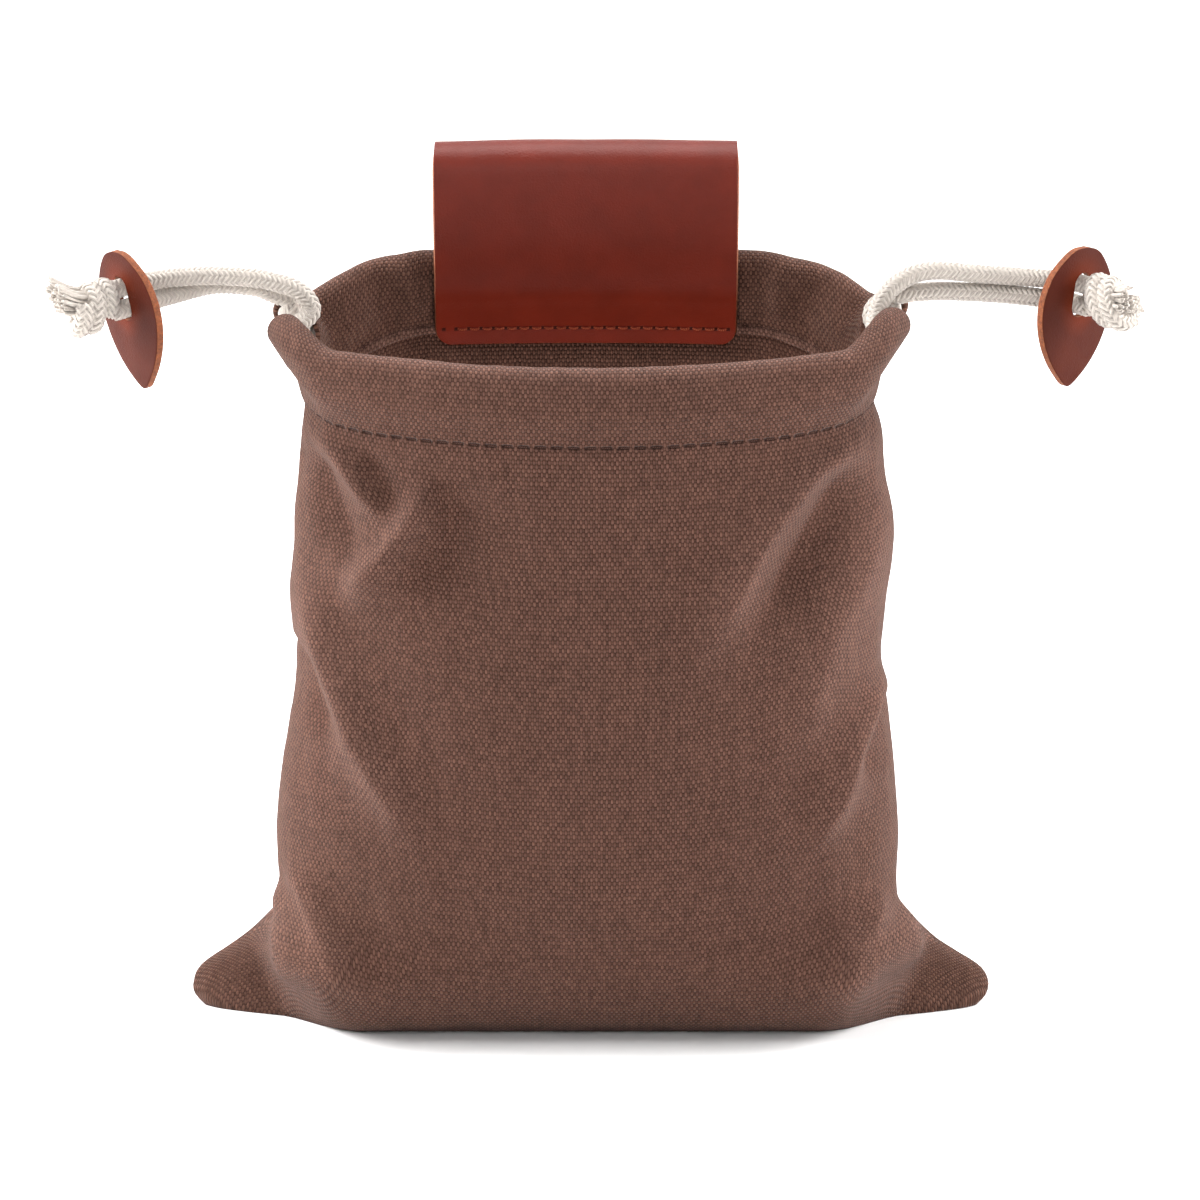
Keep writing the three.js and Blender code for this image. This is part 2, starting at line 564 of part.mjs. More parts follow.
// The two ends of the drawcords. hole is the middle of the toggle's hole, out the way its outer face
// looks, down its long axis. The strands are drawn from the tunnel mouths to the hole.
const ENDS = [
  {
    name: "left",
    hole: [-140.5, -5, 228.8],
    out: [-0.78, -0.6, -0.16],
    down: [0.2, 0, -0.98],
    tuft: { side: 0.35, lift: -0.35 },
    strands: {
      front: [[-91.5, -6.5, 219.7], [-87.5, -3, 221.2], [-84.8, -1.5, 224], [-86.2, -1, 227.8], [-90, -0.5, 230.8], [-95, 0, 232.4], [-103, 0, 234], [-115, 0, 234.6], [-126, 0.5, 234]],
      back: [[-91, 5.5, 223.5], [-91, 5.6, 226], [-96.5, 5.8, 228], [-103, 5.9, 230.3], [-115, 5.9, 231], [-126, 4.2, 228.6]],
    },
  },
  {
    name: "right",
    hole: [147.6, -5, 229.8],
    out: [0.68, -0.73, -0.08],
    down: [-0.115, 0, -0.993],
    tuft: { side: -0.25, lift: -0.1 },
    strands: {
      front: [[85.5, -5, 215.6], [84.2, -3, 219.2], [84.6, -2, 223.5], [87, -1.2, 228], [91.5, 0, 231.8], [98, 0, 235.2], [106, 0, 236.2], [117, 0, 235.3], [130, 1, 234.2]],
      back: [[85.5, 5.4, 216], [83.4, 5, 218.6], [83.4, 5, 222], [86, 5, 225.2], [90.5, 4.8, 227.1], [97, 3.6, 228.7], [106, 2.6, 229.5], [118, 2.3, 229.2], [130, 2.3, 228.3]],
    },
  },
];

for (const end of ENDS) {
  const hole = new THREE.Vector3(...end.hole);
  const out = new THREE.Vector3(...end.out).normalize();
  const up = new THREE.Vector3(...end.down).normalize().negate();
  up.addScaledVector(out, -up.dot(out)).normalize();
  const back = out.clone().negate();
  const frame = new THREE.Group();
  frame.name = `${end.name}_toggle_frame`;
  frame.position.copy(hole);
  frame.quaternion.setFromRotationMatrix(new THREE.Matrix4().makeBasis(back.clone().cross(up), back, up));
  group.add(frame);
  add(`${end.name}_toggle`, toggle(), leather, frame);
  add(`${end.name}_knot`, knot(end.tuft.side, end.tuft.lift), cotton, frame);
  const exitTurn = end.name === "left" ? -QUARTER : QUARTER;
  const level = end.name === "left" ? UPPER_CORD : LOWER_CORD;
  const nextTurn = exitTurn * (1 - 2 / COLUMNS);
  for (const [name, sideways] of [["front", -1], ["back", 1]]) {
    const mouth = hemPoint(sideways, hemTurn(exitTurn, level), 0, level);
    const before = hemPoint(sideways, hemTurn(nextTurn, level), 0, level);
    const along = mouth.clone().sub(before).normalize();
    const lift = (CORD + GAP) / 2;
    const lane = hole.clone().addScaledVector(up, sideways < 0 ? lift : -lift);
    const start = mouth.clone().addScaledVector(along, 3 * GAP);
    const route = [
      start.clone().addScaledVector(along, CORD / 4),
      ...end.strands[name].map((point) => new THREE.Vector3(...point)),
      lane.clone().addScaledVector(out, -5),
      lane.clone().addScaledVector(out, STRAND_END),
    ];
    add(`${end.name}_${name}_strand`, tube([start, ...smoothPath(route, 18)]), cotton);
  }
}

export default group;
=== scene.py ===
# Drawstring belt pouch, dressed for its photograph: a canvas sack with a hemmed mouth, a red-brown leather
# belt loop, and two braided cotton drawcords with leather toggles and frayed knots.
# Metres, +Z up, the front faces -Y. Lengths in the tables are millimetres or shares of the named sizes.
import math
import random

import bmesh
import bpy
import numpy as np
from mathutils import Matrix, Vector, noise


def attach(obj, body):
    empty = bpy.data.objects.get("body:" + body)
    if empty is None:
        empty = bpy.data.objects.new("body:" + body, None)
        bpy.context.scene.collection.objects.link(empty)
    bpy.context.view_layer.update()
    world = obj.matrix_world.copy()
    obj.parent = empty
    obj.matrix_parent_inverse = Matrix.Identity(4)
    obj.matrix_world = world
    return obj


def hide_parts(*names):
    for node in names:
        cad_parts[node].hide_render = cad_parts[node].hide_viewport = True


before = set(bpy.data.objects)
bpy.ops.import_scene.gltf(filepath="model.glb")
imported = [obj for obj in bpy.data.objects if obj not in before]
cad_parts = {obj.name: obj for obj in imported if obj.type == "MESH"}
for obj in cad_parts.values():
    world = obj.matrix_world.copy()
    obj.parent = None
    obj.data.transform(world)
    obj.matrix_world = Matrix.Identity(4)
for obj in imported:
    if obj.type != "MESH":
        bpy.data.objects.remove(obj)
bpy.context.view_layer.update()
MM = 0.001
ROOT = "root"
random.seed(7)

# Camera: level with the photo's, 14 degrees above the floor. The pouch's origin lies at FLOOR_PIXEL of the
# 1200 by 1200 photo.
PHOTO_SIZE = 1200
FLOOR_PIXEL = (591, 1003)
ELEVATION = math.radians(14)
CAMERA_AWAY = 1100 * MM
LENS = 103
SENSOR = 36


def place_camera():
    towards = Vector((0, -math.cos(ELEVATION), math.sin(ELEVATION)))
    upwards = Vector((0, math.sin(ELEVATION), math.cos(ELEVATION)))
    pixel = CAMERA_AWAY * SENSOR / LENS / PHOTO_SIZE
    centre = PHOTO_SIZE / 2
    aim = Vector(((centre - FLOOR_PIXEL[0]) * pixel, 0, 0)) + upwards * (FLOOR_PIXEL[1] - centre) * pixel
    data = bpy.data.cameras.new("camera")
    data.lens = LENS
    data.sensor_width = SENSOR
    data.clip_start = 0.05
    data.clip_end = 20
    camera = bpy.data.objects.new("camera", data)
    camera.location = aim + towards * CAMERA_AWAY
    camera.rotation_euler = (-towards).to_track_quat("-Z", "Y").to_euler()
    bpy.context.collection.objects.link(camera)
    bpy.context.scene.camera = camera


place_camera()

# Sizes of the sack, as in the solids, in millimetres
CLOTH = 1.5
GAP = 0.3
SEAM_LAP = 0.06
BODY_HALF_WIDTH = 92
CORNER_HALF_WIDTH = 127
CORNER_HEIGHT = 37
CORNER_THICKNESS = 16
CORNER_TIP = 4
FOOT_HALF_WIDTH = 79
BOTTOM_SEAM_BACK = 1
BODY_FRONT = 50
BODY_BACK = 46
FRONT_HEIGHT = 214.5
SIDE_HEIGHT = 217.5
BACK_HEIGHT = 237
FOLD_DEPTH = 4
FOLD_WIDTH = 10
HEM_HEIGHT = 24.5
HEM_OVERLAP = 2
SIDE_FLARE = 13.5
FRONT_FLARE = 1
SLIT_HALF_WIDTH = 7
SLIT_CURL = 2.5
SLIT_LIFT = {"left": 6.5, "right": 8.5}
CORD = 6
CORD_PLAY = 0.95
LEATHER = 2.6
LOOP_WIDTH = 94.3
LOOP_OFFSET = -1.5
LOOP_HEIGHT = 58.7
LOOP_HALF_DEPTH = 10
LOOP_TAIL = 5
LOOP_CORNER = 5
TOGGLE_HEIGHT = 43
TOGGLE_WIDTH = 32
TOGGLE_THICKNESS = 2.4
TOGGLE_HOLE_AT = 0.34
HOLE_LENGTH = 13.4
HOLE_WIDTH = 7
STRAND_END = 5

# Outline of the body: height is a share of the wall, left and right are shares of BODY_HALF_WIDTH, front
# and back of BODY_FRONT and BODY_BACK.
LEVELS = {
    "height": [0.0, 0.012, 0.04, 0.1, 0.2, 0.29, 0.39, 0.48, 0.57, 0.7, 0.84, 0.95, 1.0],
    "left": [1.03, 1.04, 1.045, 1.05, 1.05, 1.076, 1.06, 1.025, 0.996, 0.995, 0.984, 0.962, 0.95],
    "right": [1.03, 1.035, 1.04, 1.045, 1.05, 1.056, 1.04, 1.018, 0.984, 0.986, 0.986, 0.97, 0.94],
    "front": [0.5, 0.59, 0.71, 0.83, 0.92, 0.97, 0.99, 1.0, 1.0, 0.99, 0.97, 0.96, 0.96],
    "back": [0.5, 0.62, 0.74, 0.86, 0.95, 1.0, 1.0, 0.99, 0.97, 0.96, 0.94, 0.94, 0.96],
}

# Reach of each bottom corner from the body to its tip: height is a share of CORNER_HEIGHT.
CORNER_LEVELS = {
    "height": [0.0, 0.08, 0.2, 0.34, 0.47, 0.6, 0.78, 0.92, 1.0],
    "left": [0.9, 0.98, 1.0, 0.93, 0.73, 0.51, 0.23, 0.02, 0.0],
    "right": [0.9, 0.98, 1.0, 0.9, 0.66, 0.43, 0.19, 0.02, 0.0],
}

QUARTER = math.pi / 2
BACK_LEVEL_FROM = math.radians(55)
FRONT, BACK = -1, 1


def mix(a, b, share):
    return a + (b - a) * share


def smooth(share):
    t = min(1, max(0, share))
    return t * t * (3 - 2 * t)


def value_at(table, column, height):
    """A column of a table at a height between its rows, on a smooth curve through them."""
    heights = table["height"]
    values = table[column]
    last = len(heights) - 1
    if height <= heights[0]:
        return values[0]
    if height >= heights[last]:
        return values[last]
    i = next(k for k in range(last) if heights[k + 1] > height)

    def slope(k):
        low = max(0, k - 1)
        high = min(last, k + 1)
        return (values[high] - values[low]) / (heights[high] - heights[low])

    span = heights[i + 1] - heights[i]
    t = (height - heights[i]) / span
    level = mix(values[i], values[i + 1], t * t * (3 - 2 * t))
    return level + slope(i) * span * t * (1 - t) ** 2 - slope(i + 1) * span * t * t * (1 - t)


def rim_height(side, turn):
    from_seam = QUARTER - abs(turn)
    if side == FRONT:
        return mix(SIDE_HEIGHT, FRONT_HEIGHT, smooth(from_seam / QUARTER))
    return mix(SIDE_HEIGHT, BACK_HEIGHT, smooth(from_seam / BACK_LEVEL_FROM))


def flare_at(side, turn):
    middle = FRONT_FLARE if side == FRONT else 0
    return mix(SIDE_FLARE, middle, smooth((QUARTER - abs(turn)) / BACK_LEVEL_FROM))


def stitch_height(side, turn):
    return rim_height(side, turn) - math.sqrt(HEM_HEIGHT**2 - flare_at(side, turn) ** 2)


def bare_wall(side, turn, share):
    """A point of a panel's wall, without its folds."""
    z = stitch_height(side, turn) * share
    across = math.sin(turn)
    half = "left" if across < 0 else "right"
    body = BODY_HALF_WIDTH * value_at(LEVELS, half, share)
    corner_share = z / CORNER_HEIGHT
    half_width = mix(body, CORNER_HALF_WIDTH, value_at(CORNER_LEVELS, half, corner_share))
    x = half_width * across
    if side == FRONT:
        depth = BODY_FRONT * value_at(LEVELS, "front", share)
    else:
        depth = BODY_BACK * value_at(LEVELS, "back", share)
    lens = depth * max(0, math.cos(turn)) ** (0.8 if side == FRONT else 0.6)
    edge = mix(FOOT_HALF_WIDTH, body, min(1, corner_share))
    past = min(1, max(0, (abs(x) - edge) / (CORNER_HALF_WIDTH - edge)))
    corner = mix(CORNER_THICKNESS * (1 - corner_share / 2), CORNER_TIP, past)
    foot = mix(depth, corner, smooth((abs(x) - edge + 8) / 28)) * math.sqrt(max(0, 1 - across**20))
    low = 1 - smooth((corner_share - 0.55) / 0.75)
    return Vector((x, side * (mix(lens, foot, low) - SEAM_LAP / 2), z))


# Hem
TUNNEL = CORD / 2 + CORD_PLAY
HEM_ROUND = TUNNEL + CLOTH
HEM_FLAT = CLOTH + GAP / 2
UPPER_CORD = HEM_HEIGHT - HEM_ROUND
LOWER_CORD = UPPER_CORD - CORD - GAP
TUNNEL_FROM = LOWER_CORD - TUNNEL
SLIT_FROM = math.radians(60)
SLIT_TURN = SLIT_HALF_WIDTH / (BODY_FRONT * value_at(LEVELS, "front", 1))
NUDGE = 0.01
GATHER_DEPTH = 2.2
GATHERS = [
    {"side": BACK, "across": -0.8, "push": -0.6, "width": 6},
    {"side": BACK, "across": -0.68, "push": 1.0, "width": 5},
    {"side": BACK, "across": -0.61, "push": -0.5, "width": 2.6},
    {"side": BACK, "across": -0.55, "push": 0.45, "width": 2.6},
    {"side": BACK, "across": 0.57, "push": 0.4, "width": 2.8},
    {"side": BACK, "across": 0.63, "push": -0.5, "width": 2.8},
    {"side": BACK, "across": 0.71, "push": 1.0, "width": 5},
    {"side": BACK, "across": 0.83, "push": -0.6, "width": 6},
    {"side": BACK, "across": 0.92, "push": 0.5, "width": 3.5},
    {"side": FRONT, "across": -0.3, "push": -0.14, "width": 12},
    {"side": FRONT, "across": 0.42, "push": -0.14, "width": 14},
]


def hem_turn(turn, up):
    """The hems stop short of the seams, so that the cords can leave between them."""
    opened = smooth((up + HEM_OVERLAP) / (TUNNEL_FROM + HEM_OVERLAP))
    beyond = max(0, abs(turn) - SLIT_FROM)
    kept = 1 - SLIT_TURN * mix(0.3, 1, opened) / (QUARTER - SLIT_FROM)
    return math.copysign(min(abs(turn), SLIT_FROM) + beyond * kept, turn)


def hem_seat(side, turn):
    foot = bare_wall(side, turn, 1)
    ahead = bare_wall(side, min(QUARTER, turn + NUDGE), 1) - bare_wall(side, max(-QUARTER, turn - NUDGE), 1)
    ahead.normalize()
    level = Vector((-side * ahead.y, side * ahead.x, 0)).normalized()
    flare = flare_at(side, turn)
    up = level * flare
    up.z = math.sqrt(HEM_HEIGHT**2 - flare**2)
    up -= ahead * up.dot(ahead)
    up.normalize()
    out = up.cross(ahead) * side
    return foot - out * HEM_FLAT, level, up, out


def hem_point(side, turn, out_by, up_by):
    foot, level, up, out = hem_seat(side, turn)
    point = foot + up * up_by + out * out_by
    raised = smooth(up_by / TUNNEL_FROM)
    to_slit = smooth((abs(turn) - SLIT_FROM) / (QUARTER - SLIT_FROM - SLIT_TURN))
    point.x -= math.copysign(SLIT_CURL * raised * to_slit, turn)
    point.z += SLIT_LIFT["left" if turn < 0 else "right"] * raised * to_slit
    for gather in GATHERS:
        if gather["side"] == side:
            away = (foot.x - gather["across"] * BODY_HALF_WIDTH) / gather["width"]
            point += level * gather["push"] * GATHER_DEPTH * raised * math.exp(-away * away)
    return point


# Drawcords: the routes of the free strands, from the tunnel mouths to the toggles' holes, in millimetres.
# hole is the middle of a toggle's hole, out the way its outer face looks, down its long axis.
ENDS = {
    "left": {
        "turn": -QUARTER,
        "level": UPPER_CORD,
        "hole": (-140.5, -5, 228.8),
        "out": (-0.78, -0.6, -0.16),
        "down": (0.2, 0, -0.98),
        "front": [
            (-91.5, -6.5, 219.7), (-87.5, -3, 221.2), (-84.8, -1.5, 224), (-86.2, -1, 227.8), (-90, -0.5, 230.8),
            (-95, 0, 232.4),
            (-103, 0, 234), (-115, 0, 234.6), (-126, 0.5, 234),
        ],
        "back": [
            (-91, 5.5, 223.5), (-91, 5.6, 226), (-96.5, 5.8, 228), (-103, 5.9, 230.3),
            (-115, 5.9, 231), (-126, 4.2, 228.6),
        ],
    },
    "right": {
        "turn": QUARTER,
        "level": LOWER_CORD,
        "hole": (147.6, -5, 229.8),
        "out": (0.68, -0.73, -0.08),
        "down": (-0.115, 0, -0.993),
        "front": [
            (87, -7, 217.8), (86.4, -4, 220.5), (87.4, -2.2, 224.5), (89.5, -1.2, 228.6), (93.2, 0, 232.2),
            (99, 0, 235.3), (106, 0, 236.2), (117, 0, 235.3), (130, 1, 234.2),
        ],
        "back": [
            (87.8, 8.6, 218.4), (86.2, 5.4, 220.8), (86.6, 5, 223.6), (88.8, 5, 225.8), (92.5, 4.6, 227.4),
            (97, 3.6, 228.7), (106, 2.6, 229.5), (118, 2.3, 229.2), (130, 2.3, 228.3),
        ],
    },
}


def end_axes(end):
    """The middle of a toggle's hole with the toggle's own right, inward and up directions, in metres."""
    hole = Vector(end["hole"]) * MM
    out = Vector(end["out"]).normalized()
    up = -Vector(end["down"]).normalized()
    up = (up - out * up.dot(out)).normalized()
    return hole, (-out).cross(up), -out, up


def spline(points, step):
    """Points at an even step along a smooth curve through the given ones."""
    ends = [points[0] * 2 - points[1], *points, points[-1] * 2 - points[-2]]
    fine = []
    for a, b, c, d in zip(ends, ends[1:], ends[2:], ends[3:]):
        for i in range(12):
            t = i / 12
            fine.append(
                0.5 * (2 * b + (c - a) * t + (2 * a - 5 * b + 4 * c - d) * t**2 + (3 * b - a - 3 * c + d) * t**3)
            )
    fine.append(points[-1].copy())
    return even(fine, step)


def even(points, step):
    """The same line, resampled at an even step."""
    lengths = [0]
    for a, b in zip(points, points[1:]):
        lengths.append(lengths[-1] + (b - a).length)
    count = max(2, round(lengths[-1] / step))
    line = np.array([tuple(p) for p in points])
    at = np.linspace(0, lengths[-1], count + 1)
    return [Vector(p) for p in np.column_stack([np.interp(at, lengths, line[:, k]) for k in range(3)])]


def strand_route(end, name):
    side = FRONT if name == "front" else BACK
    mouth = hem_point(side, hem_turn(end["turn"], end["level"]), 0, end["level"]) * MM
    inside = hem_point(side, hem_turn(end["turn"] * (1 - 2 / 26), end["level"]), 0, end["level"]) * MM
    along = (mouth - inside).normalized()
    hole, right, inward, up = end_axes(end)
    lane = hole + up * (CORD + GAP) / 2 * MM * (1 if side == FRONT else -1)
    start = mouth + along * 3 * GAP * MM
    chosen = [Vector(point) * MM for point in end[name]]
    return [start, start + along * CORD / 4 * MM, *chosen, lane + inward * 5 * MM, lane - inward * STRAND_END * MM]


# Meshes
def add_mesh(name, vertices, faces, material, uvs=None, smooth_shade=True):
    mesh = bpy.data.meshes.new(name)
    mesh.from_pydata([tuple(v) for v in vertices], [], faces)
    mesh.validate()
    if uvs is not None:
        layer = mesh.uv_layers.new(name="cloth")
        corner = np.empty(len(mesh.loops), dtype=np.int32)
        mesh.loops.foreach_get("vertex_index", corner)
        layer.data.foreach_set("uv", np.asarray(uvs, dtype=np.float32)[corner].ravel())
    if smooth_shade:
        mesh.shade_smooth()
    piece = bpy.data.objects.new(name, mesh)
    bpy.context.collection.objects.link(piece)
    if material:
        mesh.materials.append(material)
    return piece


def finish_piece(piece, slot, *nodes):
    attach(piece, ROOT)
    if nodes:
        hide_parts(*nodes)
    return piece


def carried_frames(path):
    """A direction square to the path at each of its points, carried along without twist."""
    tangents = []
    for i in range(len(path)):
        tangents.append((path[min(len(path) - 1, i + 1)] - path[max(0, i - 1)]).normalized())
    normal = tangents[0].orthogonal().normalized()
    frames = []
    for tangent in tangents:
        normal = (normal - tangent * normal.dot(tangent)).normalized()
        frames.append((tangent, normal, tangent.cross(normal)))
    return frames


class Shell:
    """Collects tubes and other closed strips into one mesh."""

    def __init__(self):
        self.vertices = []
        self.faces = []
        self.uvs = []

    def tube(self, path, radius, sides, flat=1.0, axes=None, closed_ends=True, v_scale=1.0):
        """A tube along a path. radius may be a list; flat squashes it along its own second axis."""
        frames = carried_frames(path) if axes is None else axes
        first = len(self.vertices)
        run = 0
        for i, point in enumerate(path):
            size = radius[i] if isinstance(radius, (list, tuple)) else radius
            run += (point - path[i - 1]).length if i else 0
            _, normal, binormal = frames[i]
            for k in range(sides):
                angle = 2 * math.pi * k / sides
                self.vertices.append(
                    point + normal * math.cos(angle) * size + binormal * math.sin(angle) * size * flat
                )
                self.uvs.append((k / sides, run * v_scale))
        for i in range(len(path) - 1):
            for k in range(sides):
                a = first + i * sides + k
                b = first + i * sides + (k + 1) % sides
                self.faces.append((a, b, b + sides, a + sides))
        if closed_ends:
            last = first + (len(path) - 1) * sides
            self.faces.append(tuple(reversed(range(first, first + sides))))
            self.faces.append(tuple(range(last, last + sides)))

    def piece(self, name, material):
        return add_mesh(name, self.vertices, self.faces, material, self.uvs)


def closed_sheet(outer, inner, uvs, wrap=False, flip=False):
    """Vertices, faces and UVs of a thick sheet between two equal grids of points."""
    rows, columns = outer.shape[:2]
    vertices = np.concatenate([outer.reshape(-1, 3), inner.reshape(-1, 3)])
    under = rows * columns
    faces = []

    def add(face):
        faces.append(tuple(reversed(face)) if flip else face)

    spans = columns if wrap else columns - 1
    for r in range(rows - 1):
        for c in range(spans):
            a = r * columns + c
            b = r * columns + (c + 1) % columns
            add((a, b, b + columns, a + columns))
            add((a + under, a + columns + under, b + columns + under, b + under))
    top = (rows - 1) * columns
    for c in range(spans):
        d = (c + 1) % columns
        add((c, c + under, d + under, d))
        add((top + c, top + d, top + d + under, top + c + under))
    if not wrap:
        for r in range(rows - 1):
            a = r * columns
            b = a + columns
            add((a, b, b + under, a + under))
            add((b - 1, b - 1 + under, b + columns - 1 + under, b + columns - 1))
    return vertices, faces, np.concatenate([uvs.reshape(-1, 2)] * 2)


def grid_normals(points, wrap=False):
    """Unit normals of a grid, along its columns' direction crossed with its rows' direction."""
    rows, columns = points.shape[:2]
    ahead = np.roll(points, -1, axis=1)
    low, high = points[:-1], points[1:]
    low_ahead, high_ahead = ahead[:-1], ahead[1:]
    faces = np.cross(high_ahead - low, high - low_ahead)
    if not wrap:
        faces[:, -1] = 0
    normals = np.zeros_like(points)
    behind = np.roll(faces, 1, axis=1)
    for part in (faces, behind):
        normals[:-1] += part
        normals[1:] += part
    lengths = np.linalg.norm(normals, axis=2, keepdims=True)
    return normals / np.maximum(lengths, 1e-12)


def grid_runs(points, axis, zero):
    """Arc length over a grid along one of its axes, counted from the line with index zero."""
    steps = np.linalg.norm(np.diff(points, axis=axis), axis=2)
    runs = np.cumsum(steps, axis=axis)
    pad = [(0, 0), (0, 0)]
    pad[axis] = (1, 0)
    runs = np.pad(runs, pad)
    return runs - np.take(runs, [zero], axis=axis)


# Shader maths
def shade(red, green, blue):
    """A colour given as it looks on a screen, 0 to 255."""
    channels = []
    for value in (red, green, blue):
        c = value / 255
        channels.append(c / 12.92 if c <= 0.04045 else ((c + 0.055) / 1.055) ** 2.4)
    return (*channels, 1)


class Wire:
    """An output of a shader node. Arithmetic on it adds Math nodes."""

    def __init__(self, finish, socket):
        self.finish = finish
        self.socket = socket

    def math(self, operation, *values):
        return self.finish.node("ShaderNodeMath", {"operation": operation}, dict(enumerate(values)))

    def __add__(self, other):
        return self.math("ADD", self, other)

    def __sub__(self, other):
        return self.math("SUBTRACT", self, other)

    def __rsub__(self, other):
        return self.math("SUBTRACT", other, self)

    def __mul__(self, other):
        return self.math("MULTIPLY", self, other)

    def __truediv__(self, other):
        return self.math("DIVIDE", self, other)

    __radd__ = __add__
    __rmul__ = __mul__

    def floor(self):
        return self.math("FLOOR", self)

    def fraction(self):
        return self.math("FRACT", self)

    def cosine(self):
        return self.math("COSINE", self)

    def sine(self):
        return self.math("SINE", self)

    def size(self):
        return self.math("ABSOLUTE", self)

    def most(self, other):
        return self.math("MAXIMUM", self, other)

    def least(self, other):
        return self.math("MINIMUM", self, other)

    def step(self, low, high):
        """0 below low, 1 above high, smooth between; falling where high is below low."""
        settings = {"interpolation_type": "SMOOTHSTEP"}
        if low <= high:
            return self.finish.node("ShaderNodeMapRange", settings, {0: self, 1: low, 2: high, 3: 0, 4: 1})
        return self.finish.node("ShaderNodeMapRange", settings, {0: self, 1: high, 2: low, 3: 1, 4: 0})


class Finish:
    """The nodes of a procedural material, or of the world, in the making."""

    def __init__(self, name, owners=None):
        self.owner = (bpy.data.materials if owners is None else owners).new(name)
        self.owner.use_nodes = True
        self.tree = self.owner.node_tree
        self.tree.nodes.clear()

    def node(self, kind, settings=None, sockets=None, output=0):
        node = self.tree.nodes.new(kind)
        for name, value in (settings or {}).items():
            setattr(node, name, value)
        for key, value in (sockets or {}).items():
            if isinstance(value, Wire):
                self.tree.links.new(value.socket, node.inputs[key])
            else:
                node.inputs[key].default_value = value
        return Wire(self, node.outputs[output])

    def cloth_uv(self):
        """The two lengths of the piece's own UV map, in millimetres."""
        uv = self.node("ShaderNodeUVMap", {"uv_map": "cloth"})
        u = self.node("ShaderNodeSeparateXYZ", None, {0: uv}, 0)
        v = self.node("ShaderNodeSeparateXYZ", None, {0: uv}, 1)
        return u, v

    def attribute(self, name):
        return self.node("ShaderNodeAttribute", {"attribute_name": name}, None, 2)

    def point(self, x, y, z=0):
        return self.node("ShaderNodeCombineXYZ", None, {0: x, 1: y, 2: z})

    def place(self):
        return self.node("ShaderNodeTexCoord", None, None, 3)

    def noise(self, vector, scale, detail=2, roughness=0.5):
        """Noise between about -1 and 1."""
        sockets = {"Vector": vector, "Scale": scale, "Detail": detail, "Roughness": roughness}
        return self.node("ShaderNodeTexNoise", None, sockets) * 2 - 1

    def pits(self, vector, scale):
        return self.node("ShaderNodeTexVoronoi", None, {"Vector": vector, "Scale": scale})

    def speckle(self, x, y):
        """A random number from 0 to 1 for each pair of whole numbers."""
        return self.node("ShaderNodeTexWhiteNoise", {"noise_dimensions": "2D"}, {"Vector": self.point(x, y)})

    def blend(self, a, b, share, kind="MIX"):
        settings = {"data_type": "RGBA", "blend_type": kind}
        return self.node("ShaderNodeMix", settings, {0: share, 6: a, 7: b}, 2)

    def tone(self, colour, value):
        """A colour made lighter or darker: value 0 leaves it, 1 doubles it."""
        lightness = value + 1
        return self.node("ShaderNodeVectorMath", {"operation": "SCALE"}, {0: colour, "Scale": lightness})

    def bump(self, height, distance, normal=None):
        sockets = {"Strength": 1.0, "Distance": distance, "Height": height}
        if normal:
            sockets["Normal"] = normal
        return self.node("ShaderNodeBump", None, sockets)

    def surface(self, colour, roughness, normal, constants=None):
        sockets = {"Base Color": colour, "Roughness": roughness, "Normal": normal, **(constants or {})}
        shader = self.node("ShaderNodeBsdfPrincipled", None, sockets)
        output = self.tree.nodes.new("ShaderNodeOutputMaterial")
        self.tree.links.new(shader.socket, output.inputs["Surface"])
        return self.owner


# Canvas: a plain weave of twisted cotton threads
WARP_PITCH = 0.77
WEFT_PITCH = 1.26
STITCH_PITCH = 4.9
CANVAS_THREAD = shade(88, 61, 51)
CANVAS_GAP_SHADE = shade(14, 7, 5)
CANVAS_WEAR_AND_HIGHLIGHT = shade(106, 77, 67)


def weave_height(finish, across, along):
    """Height of a plain weave, 0 in the gaps to 1 on the crowns, for places counted in threads."""
    i = across.floor()
    j = along.floor()
    warp_lift = ((along + i) * math.pi - QUARTER).cosine()
    weft_lift = ((across + j) * math.pi - QUARTER).cosine()
    a = across.fraction() * 2 - 1
    b = along.fraction() * 2 - 1
    warp = warp_lift - a * a * 0.45
    weft = -0.5 - weft_lift * 0.5 - b * b * 0.6
    return warp.most(weft) * 0.5 + 0.5


